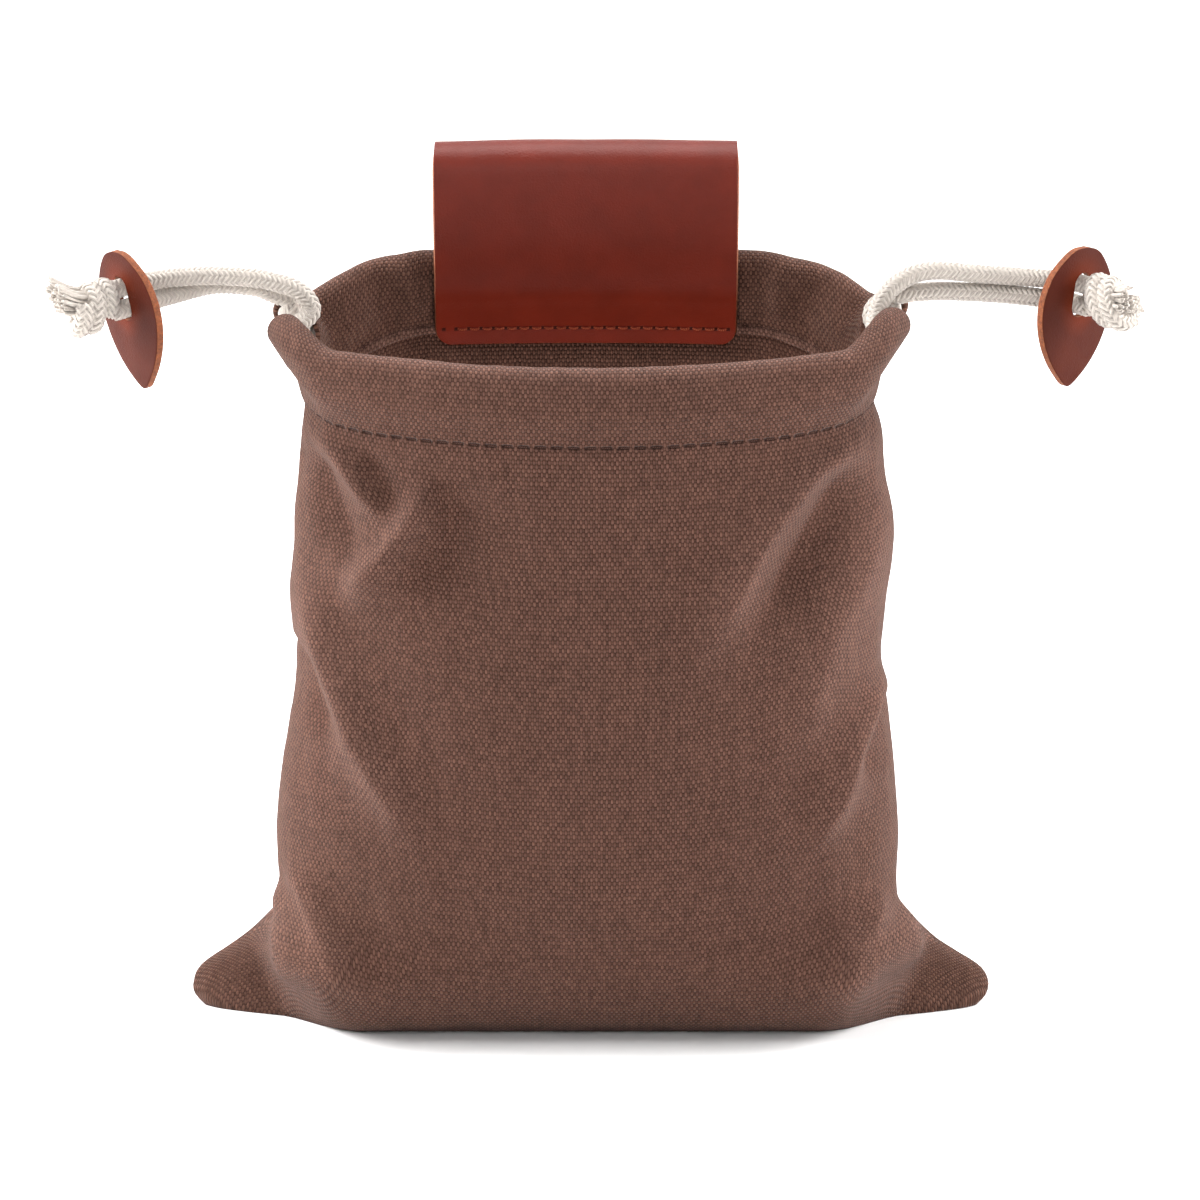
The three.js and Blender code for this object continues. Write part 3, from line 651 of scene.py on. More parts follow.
def canvas_finish(name):
    finish = Finish(name)
    u, v = finish.cloth_uv()
    flat = finish.point(u, v)
    sway = finish.noise(flat, 0.16, 2)
    across = u / WARP_PITCH + sway * 0.45
    along = v / WEFT_PITCH + finish.noise(flat, 0.21, 2) * 0.35
    height = weave_height(finish, across, along)
    warp_slub = finish.noise(finish.point(across.floor() * 3.1, v * 0.05), 1.0, 1)
    weft_slub = finish.noise(finish.point(u * 0.06, along.floor() * 2.7), 1.0, 1)
    cloud = finish.noise(flat, 0.028, 3, 0.6)
    mottle = finish.noise(flat, 0.35, 3, 0.7)
    wear_and_highlight = finish.attribute("wear_and_highlight")
    crowns = height.step(0.02, 0.6)
    # Lighter thread on the fold ridges, the rim's crest and the hem's inner edge: partly wear, partly painted
    # highlight.
    thread = finish.blend(CANVAS_THREAD, CANVAS_WEAR_AND_HIGHLIGHT, wear_and_highlight.least(1).most(0) * 0.8)
    # Painted shade and highlight: the gaps between the threads are painted near black, and the tone below rises with
    # the weave's height, darker in the gaps and lighter on the crowns.
    colour = finish.blend(CANVAS_GAP_SHADE, thread, crowns * 0.94 + 0.06)
    each = finish.speckle(across.floor(), along.floor()) - 0.5
    colour = finish.tone(colour, height * 0.6 - 0.33 + warp_slub * 0.16 + weft_slub * 0.12 + cloud * 0.1 + mottle * 0.07 + each * 0.42)
    fuzz = finish.noise(flat, 4.5, 3, 0.7)
    relief = height + fuzz * 0.12 + warp_slub * 0.1
    phase = (u / STITCH_PITCH + 0.5).fraction() - 0.5
    groove = (phase.size() * STITCH_PITCH).step(2.1, 1.3) * v.size().step(0.75, 0.3)
    # Painted shadow: the stitch grooves are darkened in colour as well as sunk.
    colour = finish.blend(colour, shade(24, 13, 10), groove * 0.7)
    relief = relief - groove * 1.2
    normal = finish.bump(relief, 0.5 * MM)
    return finish.surface(colour, 0.95, normal, {"Sheen Weight": 0.06, "Sheen Roughness": 0.4, "Specular IOR Level": 0.1})


canvas = canvas_finish("mauve_canvas")


def thread_finish(name, dark, light):
    """Twisted sewing thread, painted darker and lighter along its twist as shade and highlight of its plies."""
    finish = Finish(name)
    u, v = finish.cloth_uv()
    twist = ((u * 2 + v * 1.6) * (2 * math.pi)).sine()
    colour = finish.blend(dark, light, twist * 0.5 + 0.5)
    return finish.surface(colour, 0.8, finish.bump(twist, 0.08 * MM), {"Specular IOR Level": 0.15})


hem_thread = thread_finish("hem_thread", shade(46, 28, 23), shade(84, 58, 49))


# Sack panels
COLUMNS = 200
FOOT_STEPS = 6
ROUND_STEPS = 16
turns = np.linspace(-QUARTER, QUARTER, COLUMNS + 1)
wall_shares = [*np.linspace(0, 0.97, 118), 0.976, 0.982, 0.988, 0.993, 0.997, 1.0]

# Folds, drawn as lines on a panel seen from the front. Across and up are shares of BODY_HALF_WIDTH and
# of the wall's height, rise is a share of FOLD_DEPTH (below 0 for a dent), width of FOLD_WIDTH.
FOLDS = [
    {"side": FRONT, "rise": 0.9, "width": 0.6, "line": [(-0.92, 1.03), (-0.81, 0.96), (-0.73, 0.91), (-0.65, 0.86)]},
    {"side": FRONT, "rise": -0.8, "width": 0.9, "line": [(-0.94, 0.96), (-0.87, 0.9), (-0.8, 0.83), (-0.76, 0.78)]},
    {"side": FRONT, "rise": -0.4, "width": 0.5, "line": [(-0.73, 0.98), (-0.66, 0.93), (-0.6, 0.88)]},
    {
        "side": FRONT, "rise": 1.1, "width": 0.75,
        "line": [(-0.48, 0.96), (-0.54, 0.9), (-0.62, 0.84), (-0.72, 0.78), (-0.84, 0.72)],
    },
    {"side": FRONT, "rise": -0.6, "width": 1.4, "line": [(-0.42, 0.96), (-0.43, 0.87), (-0.52, 0.74)]},
    {
        "side": FRONT, "rise": 1.0, "width": 0.9,
        "line": [(-0.98, 0.8), (-0.88, 0.66), (-0.8, 0.55), (-0.7, 0.46), (-0.52, 0.31)],
    },
    {"side": FRONT, "rise": -0.7, "width": 0.7, "line": [(-1.0, 0.64), (-0.92, 0.56), (-0.84, 0.49)]},
    {"side": FRONT, "rise": 0.8, "width": 0.8, "line": [(-1.02, 0.3), (-0.9, 0.2), (-0.83, 0.12), (-0.8, 0.04)]},
    {"side": FRONT, "rise": 0.7, "width": 0.6, "line": [(-1.03, 0.24), (-1.03, 0.14), (-0.98, 0.07)]},
    {
        "side": FRONT, "rise": 1.0, "width": 0.95,
        "line": [(0.98, 1.02), (0.83, 0.98), (0.68, 0.92), (0.56, 0.85), (0.46, 0.76), (0.37, 0.68), (0.27, 0.6)],
    },
    {"side": FRONT, "rise": -0.9, "width": 1.0, "line": [(0.86, 0.97), (0.74, 0.87), (0.63, 0.78), (0.52, 0.68)]},
    {
        "side": FRONT, "rise": 0.7, "width": 1.4,
        "line": [(0.97, 0.91), (0.9, 0.78), (0.77, 0.66), (0.7, 0.53), (0.64, 0.46)],
    },
    {"side": FRONT, "rise": 0.9, "width": 0.75, "line": [(0.98, 0.6), (0.88, 0.49), (0.79, 0.38), (0.73, 0.31)]},
    {"side": FRONT, "rise": -0.6, "width": 0.7, "line": [(1.0, 0.55), (0.93, 0.47), (0.9, 0.42)]},
    {"side": FRONT, "rise": 0.8, "width": 0.8, "line": [(0.99, 0.25), (0.9, 0.18), (0.84, 0.1), (0.86, 0.04)]},
    {"side": FRONT, "rise": 0.7, "width": 0.6, "line": [(1.04, 0.2), (1.08, 0.13), (1.06, 0.08)]},
    {"side": BACK, "rise": 0.8, "width": 1.2, "line": [(-0.9, 0.98), (-0.7, 0.86), (-0.55, 0.7), (-0.5, 0.56)]},
    {"side": BACK, "rise": 0.9, "width": 1.1, "line": [(0.9, 0.98), (0.72, 0.84), (0.6, 0.72), (0.5, 0.6)]},
    {"side": BACK, "rise": 0.7, "width": 1.0, "line": [(-0.98, 0.66), (-0.84, 0.5), (-0.7, 0.38), (-0.6, 0.28)]},
    {"side": BACK, "rise": 0.7, "width": 1.0, "line": [(0.98, 0.6), (0.86, 0.46), (0.74, 0.34), (0.66, 0.26)]},
    {"side": BACK, "rise": 0.8, "width": 0.8, "line": [(-1.0, 0.27), (-0.9, 0.18), (-0.84, 0.05)]},
    {"side": BACK, "rise": 0.8, "width": 0.8, "line": [(1.0, 0.27), (0.9, 0.18), (0.84, 0.05)]},
]


def smooth_grid(values):
    t = np.clip(values, 0, 1)
    return t * t * (3 - 2 * t)


def fold_rise(folds, side, x, z, wall_height):
    """How far the folds push each place of a panel out."""
    rise = np.zeros_like(x)
    for fold in folds:
        if fold["side"] != side:
            continue
        curve = spline([Vector((across, up, 0)) for across, up in fold["line"]], 0.02)
        nearest = np.full_like(x, 1e9)
        along = np.zeros_like(x)
        for i, (a, b) in enumerate(zip(curve, curve[1:])):
            ax, az = a.x * BODY_HALF_WIDTH, a.y * wall_height
            dx, dz = b.x * BODY_HALF_WIDTH - ax, b.y * wall_height - az
            t = np.clip(((x - ax) * dx + (z - az) * dz) / (dx * dx + dz * dz), 0, 1)
            distance = np.hypot(x - ax - dx * t, z - az - dz * t)
            closer = distance < nearest
            nearest = np.where(closer, distance, nearest)
            along = np.where(closer, (i + t) / (len(curve) - 1), along)
        fade = smooth_grid(along / 0.25) * smooth_grid((1 - along) / 0.35)
        spread = nearest / (FOLD_WIDTH * fold["width"] * 0.8)
        rise += FOLD_DEPTH * fold["rise"] * 1.5 * fade * np.exp(-(spread**1.5))
    return rise


def hem_section():
    """(out, up) round the hem: up the outside from the stitch line, over the rim and down the inside."""
    sides = []
    for share in np.linspace(0.06, 1, 14):
        sides.append((mix(HEM_FLAT, HEM_ROUND, smooth(share)), LOWER_CORD * share))
    for share in (0.33, 0.66):
        sides.append((HEM_ROUND, mix(LOWER_CORD, UPPER_CORD, share)))
    over = []
    for i in range(ROUND_STEPS + 1):
        angle = math.pi * i / ROUND_STEPS
        over.append((HEM_ROUND * math.cos(angle), UPPER_CORD + HEM_ROUND * math.sin(angle)))
    inside = [(-out, up) for out, up in reversed(sides)]
    bead = [(-HEM_FLAT - 0.35, 0.6), (-HEM_FLAT - 0.7, -0.2), (-HEM_FLAT - 0.6, -1.2), (-HEM_FLAT, -HEM_OVERLAP)]
    return [*sides, *over, *inside, *bead]


class Panel:
    """One side of the sack as a grid: rows from the bottom seam up, over the rim and down inside."""

    def __init__(self, side):
        self.side = side
        wall = self.wall_rows()
        seams = np.zeros((COLUMNS + 1, 3))
        seams[:, 0] = wall[0, :, 0]
        seams[:, 1] = side * -SEAM_LAP / 2 + BOTTOM_SEAM_BACK * np.cos(turns)
        foot = [seams + (wall[0] - seams) * i / FOOT_STEPS for i in range(FOOT_STEPS)]
        hem = [[hem_point(side, hem_turn(t, up), out, up) for t in turns] for out, up in hem_section()]
        points = np.concatenate([np.array(foot), wall, np.array(hem)])
        self.stitch_row = FOOT_STEPS + len(wall_shares)
        middle = COLUMNS // 2
        self.u = grid_runs(points, 1, middle)
        upright = points.copy()
        upright[:self.stitch_row, :, 0] = points[self.stitch_row, :, 0]
        self.v = grid_runs(upright, 0, self.stitch_row)
        self.straighten(points)
        self.points = self.wrinkled(points)
        self.normals = grid_normals(self.points) * -side

    def straighten(self, points):
        """Out in the corners the threads run straight, at the pitch of the row over them."""
        x, z = points[..., 0], points[..., 2]
        level = FOOT_STEPS + int(np.argmax(z[FOOT_STEPS:self.stitch_row, COLUMNS // 2] > CORNER_HEIGHT))
        join = 0.85 * BODY_HALF_WIDTH
        for way in (-1, 1):
            half = np.sign(turns) == way
            start = np.interp(join, np.sort(way * x[level, half]), np.sort(way * self.u[level, half]))
            straight = way * (start + way * x - join)
            share = smooth_grid((way * x - join + 20) / 25) * smooth_grid((1.5 * CORNER_HEIGHT - z) / CORNER_HEIGHT)
            self.u = np.where(way * x > 0, mix(self.u, straight, share), self.u)

    def wall_rows(self):
        rows = np.array([[bare_wall(self.side, t, share) for t in turns] for share in wall_shares])
        ahead = np.gradient(rows, axis=1)
        level = np.stack([-self.side * ahead[..., 1], self.side * ahead[..., 0], 0 * ahead[..., 0]], axis=2)
        level /= np.maximum(np.linalg.norm(level, axis=2, keepdims=True), 1e-9)
        height = np.array([stitch_height(self.side, t) for t in turns])[None, :]
        share = np.array(wall_shares)[:, None]
        off_floor = smooth_grid(rows[..., 2] / (CORNER_HEIGHT / 3))
        off_stitches = smooth_grid((1 - share) / 0.05)
        off_seam = smooth_grid((QUARTER - np.abs(turns))[None, :] / 0.12)
        rise = fold_rise(FOLDS, self.side, rows[..., 0], rows[..., 2], height)
        self.rise = rise * off_floor * off_stitches * off_seam
        return rows + level * self.rise[..., None]

    def wrinkled(self, points):
        """Small creases, the pucker along the stitches, and the unevenness of soft cloth."""
        normals = grid_normals(points) * -self.side
        rows, columns = points.shape[:2]
        push = np.zeros((rows, columns))
        for r in range(rows):
            for c in range(columns):
                u, v = self.u[r, c], self.v[r, c]
                broad = noise.noise(Vector((u / 34, v / 26, 3 * self.side)))
                crease = noise.noise(Vector((u / 9, (v + 0.5 * u) / 17, 9 + self.side)))
                small = noise.noise(Vector((u / 4.2, v / 5.5, 17 + self.side)))
                calm = 0.35 if r > self.stitch_row else 1.0
                push[r, c] = calm * (0.7 * broad + 0.42 * crease) + 0.16 * small
        off_floor = smooth_grid(points[..., 2] / 6)
        off_seam = smooth_grid((QUARTER - np.abs(turns))[None, :] / 0.05)
        groove = np.exp(-((self.v / 1.3) ** 2))
        pull = 0.6 + 0.4 * np.cos(2 * math.pi * self.u / STITCH_PITCH)
        near = np.exp(-((self.v / 5.5) ** 2)) - groove
        pucker = noise_rows(self.u / 5.5, self.v / 14)
        push = push * off_floor - 0.5 * groove * pull + 0.22 * near * pucker
        inner_edge = self.v > self.v.max(axis=0, keepdims=True) - 7
        push = np.where(inner_edge, push + 0.25 * noise_rows(self.u / 4.9, self.v / 30), push)
        return points + normals * (push * off_seam)[..., None]

    def build(self, name, material):
        inward = -self.normals
        pinned = np.abs(self.points[..., 1]) < GAP
        inward[..., 1] = np.where(pinned, 0, inward[..., 1])
        inward /= np.maximum(np.linalg.norm(inward, axis=2, keepdims=True), 1e-9)
        inner = self.points + inward * CLOTH
        uvs = np.stack([self.u, self.v], axis=2)
        data = closed_sheet(self.points * MM, inner * MM, uvs, flip=self.side == BACK)
        piece = add_mesh(name, *data[:2], material, data[2])
        # Partly wear, partly painted highlight: the fold ridges, the crest of the rim and the inner edge of the hem
        # are marked here to be painted lighter.
        wear_and_highlight = np.zeros(self.u.shape)
        first = FOOT_STEPS
        wear_and_highlight[first:self.stitch_row] = np.clip(self.rise / FOLD_DEPTH, 0, 1) * 0.5
        crest = FOOT_STEPS + len(wall_shares) + 16 + ROUND_STEPS // 2
        rows = np.arange(wear_and_highlight.shape[0])[:, None]
        wear_and_highlight = wear_and_highlight + 0.7 * np.exp(-(((rows - crest + 1) / 4.0) ** 2))
        wear_and_highlight = wear_and_highlight + 1.0 * (rows >= wear_and_highlight.shape[0] - 5)
        layer = piece.data.attributes.new("wear_and_highlight", "FLOAT", "POINT")
        layer.data.foreach_set("value", np.concatenate([wear_and_highlight.ravel(), 0 * wear_and_highlight.ravel()]).astype(np.float32))
        return piece

    def along_row(self, row, pitch, start=-1.0, stop=1.0):
        """(point, ahead, out) at an even pitch along a row, in metres; start and stop are shares of its halves."""
        u = self.u[row]
        places = np.arange(math.ceil(u[0] * -start / pitch), math.floor(u[-1] * stop / pitch) + 1) * pitch
        for place in places:
            found = []
            for spot in (place, place + 0.5):
                found.append(Vector([np.interp(spot, u, self.points[row, :, k]) for k in range(3)]))
            out = Vector([np.interp(place, u, self.normals[row, :, k]) for k in range(3)])
            yield found[0] * MM, (found[1] - found[0]).normalized(), out.normalized()


def noise_rows(a, b):
    flat = [noise.noise(Vector((x, y, 31))) for x, y in zip(a.ravel(), b.ravel())]
    return np.array(flat).reshape(a.shape)


def sew(shell, places, length, radius, sink, rise):
    """Straight stitches that rise from one hole and sink into the next."""
    for point, ahead, out in places:
        path = []
        for i in range(9):
            t = i / 8 - 0.5
            path.append(point + ahead * (t * length * MM) + out * ((rise + sink) * (1 - abs(2 * t) ** 3) - sink) * MM)
        shell.tube(path, radius * MM, 6, v_scale=1 / MM)


front = Panel(FRONT)
back = Panel(BACK)
front_panel = finish_piece(front.build("front_canvas", canvas), "canvas", "front_panel")
back_panel = finish_piece(back.build("back_canvas", canvas), "canvas", "back_panel")

hem_stitches = Shell()
for panel in (front, back):
    inner_row = panel.points.shape[0] - 5
    for row in (panel.stitch_row, inner_row):
        sew(hem_stitches, panel.along_row(row, STITCH_PITCH, -0.97, 0.97), STITCH_PITCH - 1.0, 0.26, 0.4, 0.02)
finish_piece(hem_stitches.piece("hem_stitches", hem_thread), "canvas")


# Braided cotton cord
BRAID_CARRIERS = 8
BRAID_LAY = 12.8
BRAID_COLUMNS = 4
YARN_WIDTH = 1.5
YARN_THICKNESS = 0.72
YARN_WAVE = 0.17


def cotton_finish(name, fibre):
    finish = Finish(name)
    u, v = finish.cloth_uv()
    flat = finish.point(u * 6, v * 0.35)
    streaks = finish.noise(flat, 1.6, 3, 0.6)
    cloud = finish.noise(finish.place(), 55, 2)
    plies = ((u * 3 + v * 0.45) * (2 * math.pi)).sine()
    colour = finish.blend(shade(202, 193, 184), shade(166, 155, 145), (streaks * 0.5 + 0.5) * 0.55)
    # Painted shade: each yarn is darkened towards its sides, where the yarns meet, and the plies add a little painted
    # shade and highlight along their twist.
    sides = ((u * 2 + 0.25) * (2 * math.pi)).sine() * -0.5 + 0.5
    colour = finish.tone(colour, cloud * 0.05 + plies * 0.03 - sides * 0.24)
    normal = finish.bump(plies * fibre + streaks * 0.6, 0.1 * MM)
    return finish.surface(colour, 0.85, normal, {"Sheen Weight": 0.2, "Specular IOR Level": 0.3})


cotton = cotton_finish("cotton_cord", 0.5)
cotton_core = cotton_finish("cotton_core", 0.2)


def braid(shell, path, radius=CORD / 2):
    """Yarns wound both ways round a path over a solid core."""
    frames = carried_frames(path)
    runs = [0.0]
    for a, b in zip(path, path[1:]):
        runs.append(runs[-1] + (b - a).length / MM)
    middle = radius - YARN_THICKNESS / 2 - YARN_WAVE
    shell.tube(path, (middle - 0.1) * MM, 12, axes=frames, v_scale=1 / MM)
    for way in (1, -1):
        for carrier in range(BRAID_CARRIERS):
            line = []
            for point, (tangent, normal, binormal), run in zip(path, frames, runs):
                angle = 2 * math.pi * (way * run / BRAID_LAY + carrier / BRAID_CARRIERS)
                wave = way * YARN_WAVE * max(-1, min(1, 1.5 * math.sin(BRAID_COLUMNS * angle)))
                outward = normal * math.cos(angle) + binormal * math.sin(angle)
                line.append((point + outward * (middle + wave) * MM, outward))
            axes = []
            for i, (spot, outward) in enumerate(line):
                tangent = line[min(i + 1, len(line) - 1)][0] - line[max(i - 1, 0)][0]
                tangent.normalize()
                square = (outward - tangent * outward.dot(tangent)).normalized()
                axes.append((tangent, square, tangent.cross(square)))
            spots = [spot for spot, outward in line]
            shell.tube(spots, YARN_THICKNESS / 2 * MM, 6, YARN_WIDTH / YARN_THICKNESS, axes, v_scale=1 / MM)


def path_length(path):
    return sum((b - a).length for a, b in zip(path, path[1:]))


def tunnel_route(exit_side, level):
    """The cord inside the hem: from one slit round past the other and back."""
    path = []
    for side, way in ((FRONT, -exit_side), (BACK, exit_side)):
        for share in np.linspace(-1, 1, 81):
            path.append(hem_point(side, hem_turn(share * way * QUARTER, level), 0, level) * MM)
    fine = spline(path, 0.8 * MM)
    near_slit = 76 * MM
    return [p for i, p in enumerate(fine) if abs(p.x) > near_slit or i % 3 == 0 or i == len(fine) - 1]


strands = {}
for end_name, end in ENDS.items():
    for strand in ("front", "back"):
        route = spline(strand_route(end, strand), 0.8 * MM)
        shell = Shell()
        braid(shell, route)
        name = f"{end_name}_{strand}_braid"
        piece = finish_piece(shell.piece(name, cotton), "cotton_cord", f"{end_name}_{strand}_strand")
        strands[name] = (piece, route)
    shell = Shell()
    braid(shell, tunnel_route(math.copysign(1, end["turn"]), end["level"]))
    name = f"{end_name}_braid_in_hem"
    finish_piece(shell.piece(name, cotton), "cotton_cord", f"{end_name}_cord_in_hem")


# Knots and frayed ends, in a toggle's own frame: x to its right, -y outwards, z up
KNOT_FROM = STRAND_END + GAP
KNOT_LENGTH = 13
KNOT_RING = 4.6
KNOT_TILT = math.radians(24)
KNOTS = {
    "left": [
        {"side": -0.12, "lift": 0.5, "at": (-1.4, 3.6), "length": 9.5, "spread": 0.2},
        {"side": -0.05, "lift": 0.42, "at": (0.9, 1.6), "length": 10.0, "spread": 0.2},
    ],
    "right": [
        {"side": -0.05, "lift": 0.05, "at": (-1.8, 1.4), "length": 7.5, "spread": 0.16},
        {"side": 0.15, "lift": -0.1, "at": (1.8, -1.4), "length": 7.0, "spread": 0.16},
    ],
}
TUFT_YARNS = 38


def in_toggle(end, x, y, z):
    hole, right, inward, up = end_axes(end)
    return hole + (right * x + inward * y + up * z) * MM


def knot_route(end):
    """Two tilted turns round the core."""
    path = []
    steps = 90
    for i in range(steps + 1):
        share = i / steps
        angle = 2 * math.pi * 2.15 * share - 0.6
        x = KNOT_RING * math.cos(angle)
        z = KNOT_RING * math.sin(angle) * 1.1
        along = KNOT_FROM + 2.5 + (KNOT_LENGTH - 3.5) * share
        path.append(in_toggle(end, x, z * math.tan(KNOT_TILT) - along, z))
    return even(path, 0.7 * MM)


def tuft(shell, end, facts, chance):
    """Yarn ends that stand out from the knot like a brush."""
    start_y = -(KNOT_FROM + KNOT_LENGTH - 5)
    for _ in range(TUFT_YARNS):
        turn = chance.uniform(0, 2 * math.pi)
        reach = math.sqrt(chance.random())
        x0 = facts["at"][0] + 3.0 * reach * math.cos(turn)
        z0 = facts["at"][1] + 3.0 * reach * math.sin(turn)
        length = facts["length"] * chance.uniform(0.88, 1.03)
        lean_x = facts["side"] + facts["spread"] * reach * math.cos(turn) + chance.uniform(-0.04, 0.04)
        lean_z = facts["lift"] + facts["spread"] * reach * math.sin(turn) + chance.uniform(-0.04, 0.04)
        wave = chance.uniform(0, 2 * math.pi)
        size = chance.uniform(0.52, 0.78)
        path = []
        sizes = []
        for i in range(15):
            t = i / 14
            curl = 0.2 * math.sin(wave + 6 * t) * t
            x = x0 + lean_x * length * t * (0.35 + 0.65 * t) + curl
            z = z0 + lean_z * length * t * (0.35 + 0.65 * t) + 0.2 * math.cos(wave + 5 * t) * t
            path.append(in_toggle(end, x, start_y - length * t, z))
            sizes.append(size * (1 - 0.25 * smooth(t * 8 - 7)) * MM)
        shell.tube(path, sizes, 8, 0.75, v_scale=1 / MM)


knots = {}
for seed, (end_name, end) in enumerate(ENDS.items()):
    shell = Shell()
    braid(shell, knot_route(end))
    core = [in_toggle(end, 0, -KNOT_FROM - KNOT_LENGTH * t, 0) for t in np.linspace(0, 1, 12)]
    shell.tube(core, 3.6 * MM, 16, v_scale=1 / MM)
    chance = random.Random(seed + 3)
    for facts in KNOTS[end_name]:
        tuft(shell, end, facts, chance)
    knots[end_name] = finish_piece(shell.piece(f"{end_name}_frayed_knot", cotton), "cotton_cord", f"{end_name}_knot")


# Leather
def leather_finish(name, colours, gloss, extra):
    """Vegetable-tanned leather. extra(finish, u, v, colour) adds what the piece has of its own."""
    finish = Finish(name)
    u, v = finish.cloth_uv()
    flat = finish.point(u, v)
    cloud = finish.noise(flat, 0.07, 3, 0.55)
    grain = finish.noise(flat, 1.4, 4, 0.65)
    pores = finish.pits(flat, 1.9)
    colour = finish.blend(colours[0], colours[1], (cloud * 0.5 + 0.5).step(0.2, 0.8))
    colour = finish.tone(colour, grain * 0.06)
    colour, dent = extra(finish, u, v, colour)
    relief = grain * 0.5 + pores * 0.5 - dent
    normal = finish.bump(relief, 0.12 * MM)
    roughness = 0.42 + grain * 0.05 + cloud * 0.03
    return finish.surface(colour, roughness, normal, {"Specular IOR Level": gloss})


def raw_edge_finish(name):
    """The cut edge of leather: pale orange-tan fibres."""
    finish = Finish(name)
    place = finish.place()
    fibres = finish.noise(place, 900, 4, 0.75)
    layers = finish.noise(place, 240, 2, 0.5)
    colour = finish.blend(shade(150, 82, 42), shade(88, 42, 20), (fibres * 0.5 + 0.5).step(0.25, 0.75))
    colour = finish.tone(colour, layers * 0.18)
    normal = finish.bump(fibres, 0.3 * MM)
    return finish.surface(colour, 0.85, normal)


LOOP_STITCH_PITCH = 3.9
LOOP_STITCH_UP = 5.0


def loop_details(finish, u, v, colour):
    """Needle holes along both ends of the strap, painted dark as shade in the holes, and a lighter band past the
    stitch rows towards the ends; v being the length from its middle.
    """
    row = (v.size() - LOOP_STITCH_V).size()
    phase = ((u / LOOP_STITCH_PITCH).fraction() - 0.5).size() * LOOP_STITCH_PITCH
    # Painted shade in the needle holes.
    hole = phase.step(0.75, 0.35) * row.step(0.7, 0.3)
    # Lighter leather past the stitch rows, towards the strap's ends.
    past_stitches = (v.size() - LOOP_STITCH_V).step(-2, 2)
    colour = finish.tone(colour, past_stitches * 0.1)
    return finish.blend(colour, shade(38, 10, 6), hole * 0.9), hole * 3


def toggle_details(finish, u, v, colour):
    """The toggles are paler and warmer round the hole, where the cord rubs them."""
    past = (v.size() - (HOLE_LENGTH - HOLE_WIDTH) / 2).most(0)
    away = (u * u + past * past).math("SQRT", u * u + past * past)
    near = away.step(11, 3)
    return finish.blend(colour, shade(96, 38, 20), near * 0.7), near * 0


raw_edge = raw_edge_finish("raw_leather_edge")


def loop_profile():
    """(out, up) over the folded strap from the end inside the sack to the end outside."""
    clear = LEATHER + GAP
    flat = HEM_FLAT + clear
    full = HEM_ROUND + clear
    top_at = LOOP_HEIGHT - LOOP_HALF_DEPTH
    corner = []
    for i in range(9):
        corner.append((flat, -LOOP_TAIL + LOOP_CORNER * (1 - math.cos(QUARTER * i / 8))))
    side = [
        Vector((flat, LOOP_CORNER - LOOP_TAIL, 0)),
        Vector((mix(flat, full, 0.5), LOWER_CORD * 0.5, 0)),
        Vector((full, LOWER_CORD * 0.85, 0)),
        Vector((full + 0.2, UPPER_CORD, 0)),
        Vector((mix(full, LOOP_HALF_DEPTH, 0.6), HEM_HEIGHT + 4, 0)),
        Vector((LOOP_HALF_DEPTH, mix(HEM_HEIGHT, top_at, 0.75), 0)),
        Vector((LOOP_HALF_DEPTH, top_at - 1, 0)),
    ]
    rising = [*corner[:-1], *[(p.x, p.y) for p in spline(side, 1.3)]]
    over = []
    for i in range(25):
        angle = math.pi * i / 24
        over.append((LOOP_HALF_DEPTH * math.cos(angle), top_at + LOOP_HALF_DEPTH * math.sin(angle)))
    outside = [*rising, *over[:13]]
    return [*[(-out, up) for out, up in outside], *reversed(outside[:-1])]


def loop_grid():
    profile = loop_profile()
    stitch_z = stitch_height(BACK, 0)
    columns = 64
    rows = []
    for out, up in profile:
        into = max(0, LOOP_CORNER - (up + LOOP_TAIL))
        half = LOOP_WIDTH / 2 - LOOP_CORNER + math.sqrt(max(0, LOOP_CORNER**2 - into**2))
        row = []
        for c in range(columns + 1):
            x = LOOP_OFFSET + mix(-half, half, c / columns)
            body = BODY_HALF_WIDTH * value_at(LEVELS, "left" if x < 0 else "right", 1)
            foot = hem_seat(BACK, math.asin(x / body))[0]
            row.append((x, foot.y + out, stitch_z + up))
        rows.append(row)
    return np.array(rows)


loop_points = loop_grid()
loop_middle = loop_points.shape[0] // 2
loop_v = grid_runs(loop_points, 0, loop_middle)
LOOP_STITCH_V = float(loop_v[:, 32].max()) - LOOP_STITCH_UP
strap_leather = leather_finish("strap_leather", (shade(99, 30, 17), shade(88, 26, 14)), 0.2, loop_details)
toggle_leather = leather_finish("toggle_leather", (shade(71, 32, 23), shade(63, 27, 20)), 0.02, toggle_details)


def build_loop():
    points = loop_points.copy()
    normals = grid_normals(points)
    for r in range(points.shape[0]):
        for c in range(points.shape[1]):
            x, _, z = points[r, c]
            wave = noise.noise(Vector((x / 30, loop_v[r, c] / 24, 5)))
            points[r, c] += normals[r, c] * 0.35 * wave
    inner = points - normals * LEATHER
    uvs = np.stack([points[..., 0] - LOOP_OFFSET, loop_v], axis=2)
    vertices, faces, flat = closed_sheet(points * MM, inner * MM, uvs)
    piece = add_mesh("belt_strap", vertices, faces, strap_leather, flat)
    piece.data.materials.append(raw_edge)
    grid_faces = 2 * (points.shape[0] - 1) * (points.shape[1] - 1)
    for polygon in piece.data.polygons:
        if polygon.index >= grid_faces:
            polygon.material_index = 1
    round_edges(piece, 0.45)
    return piece, points, normals


def round_edges(piece, width):
    bevel = piece.modifiers.new("rounded edges", "BEVEL")
    bevel.width = width * MM
    bevel.segments = 3
    bevel.limit_method = "ANGLE"
    bevel.angle_limit = math.radians(50)


strap, strap_points, strap_normals = build_loop()
finish_piece(strap, "leather", "belt_loop")

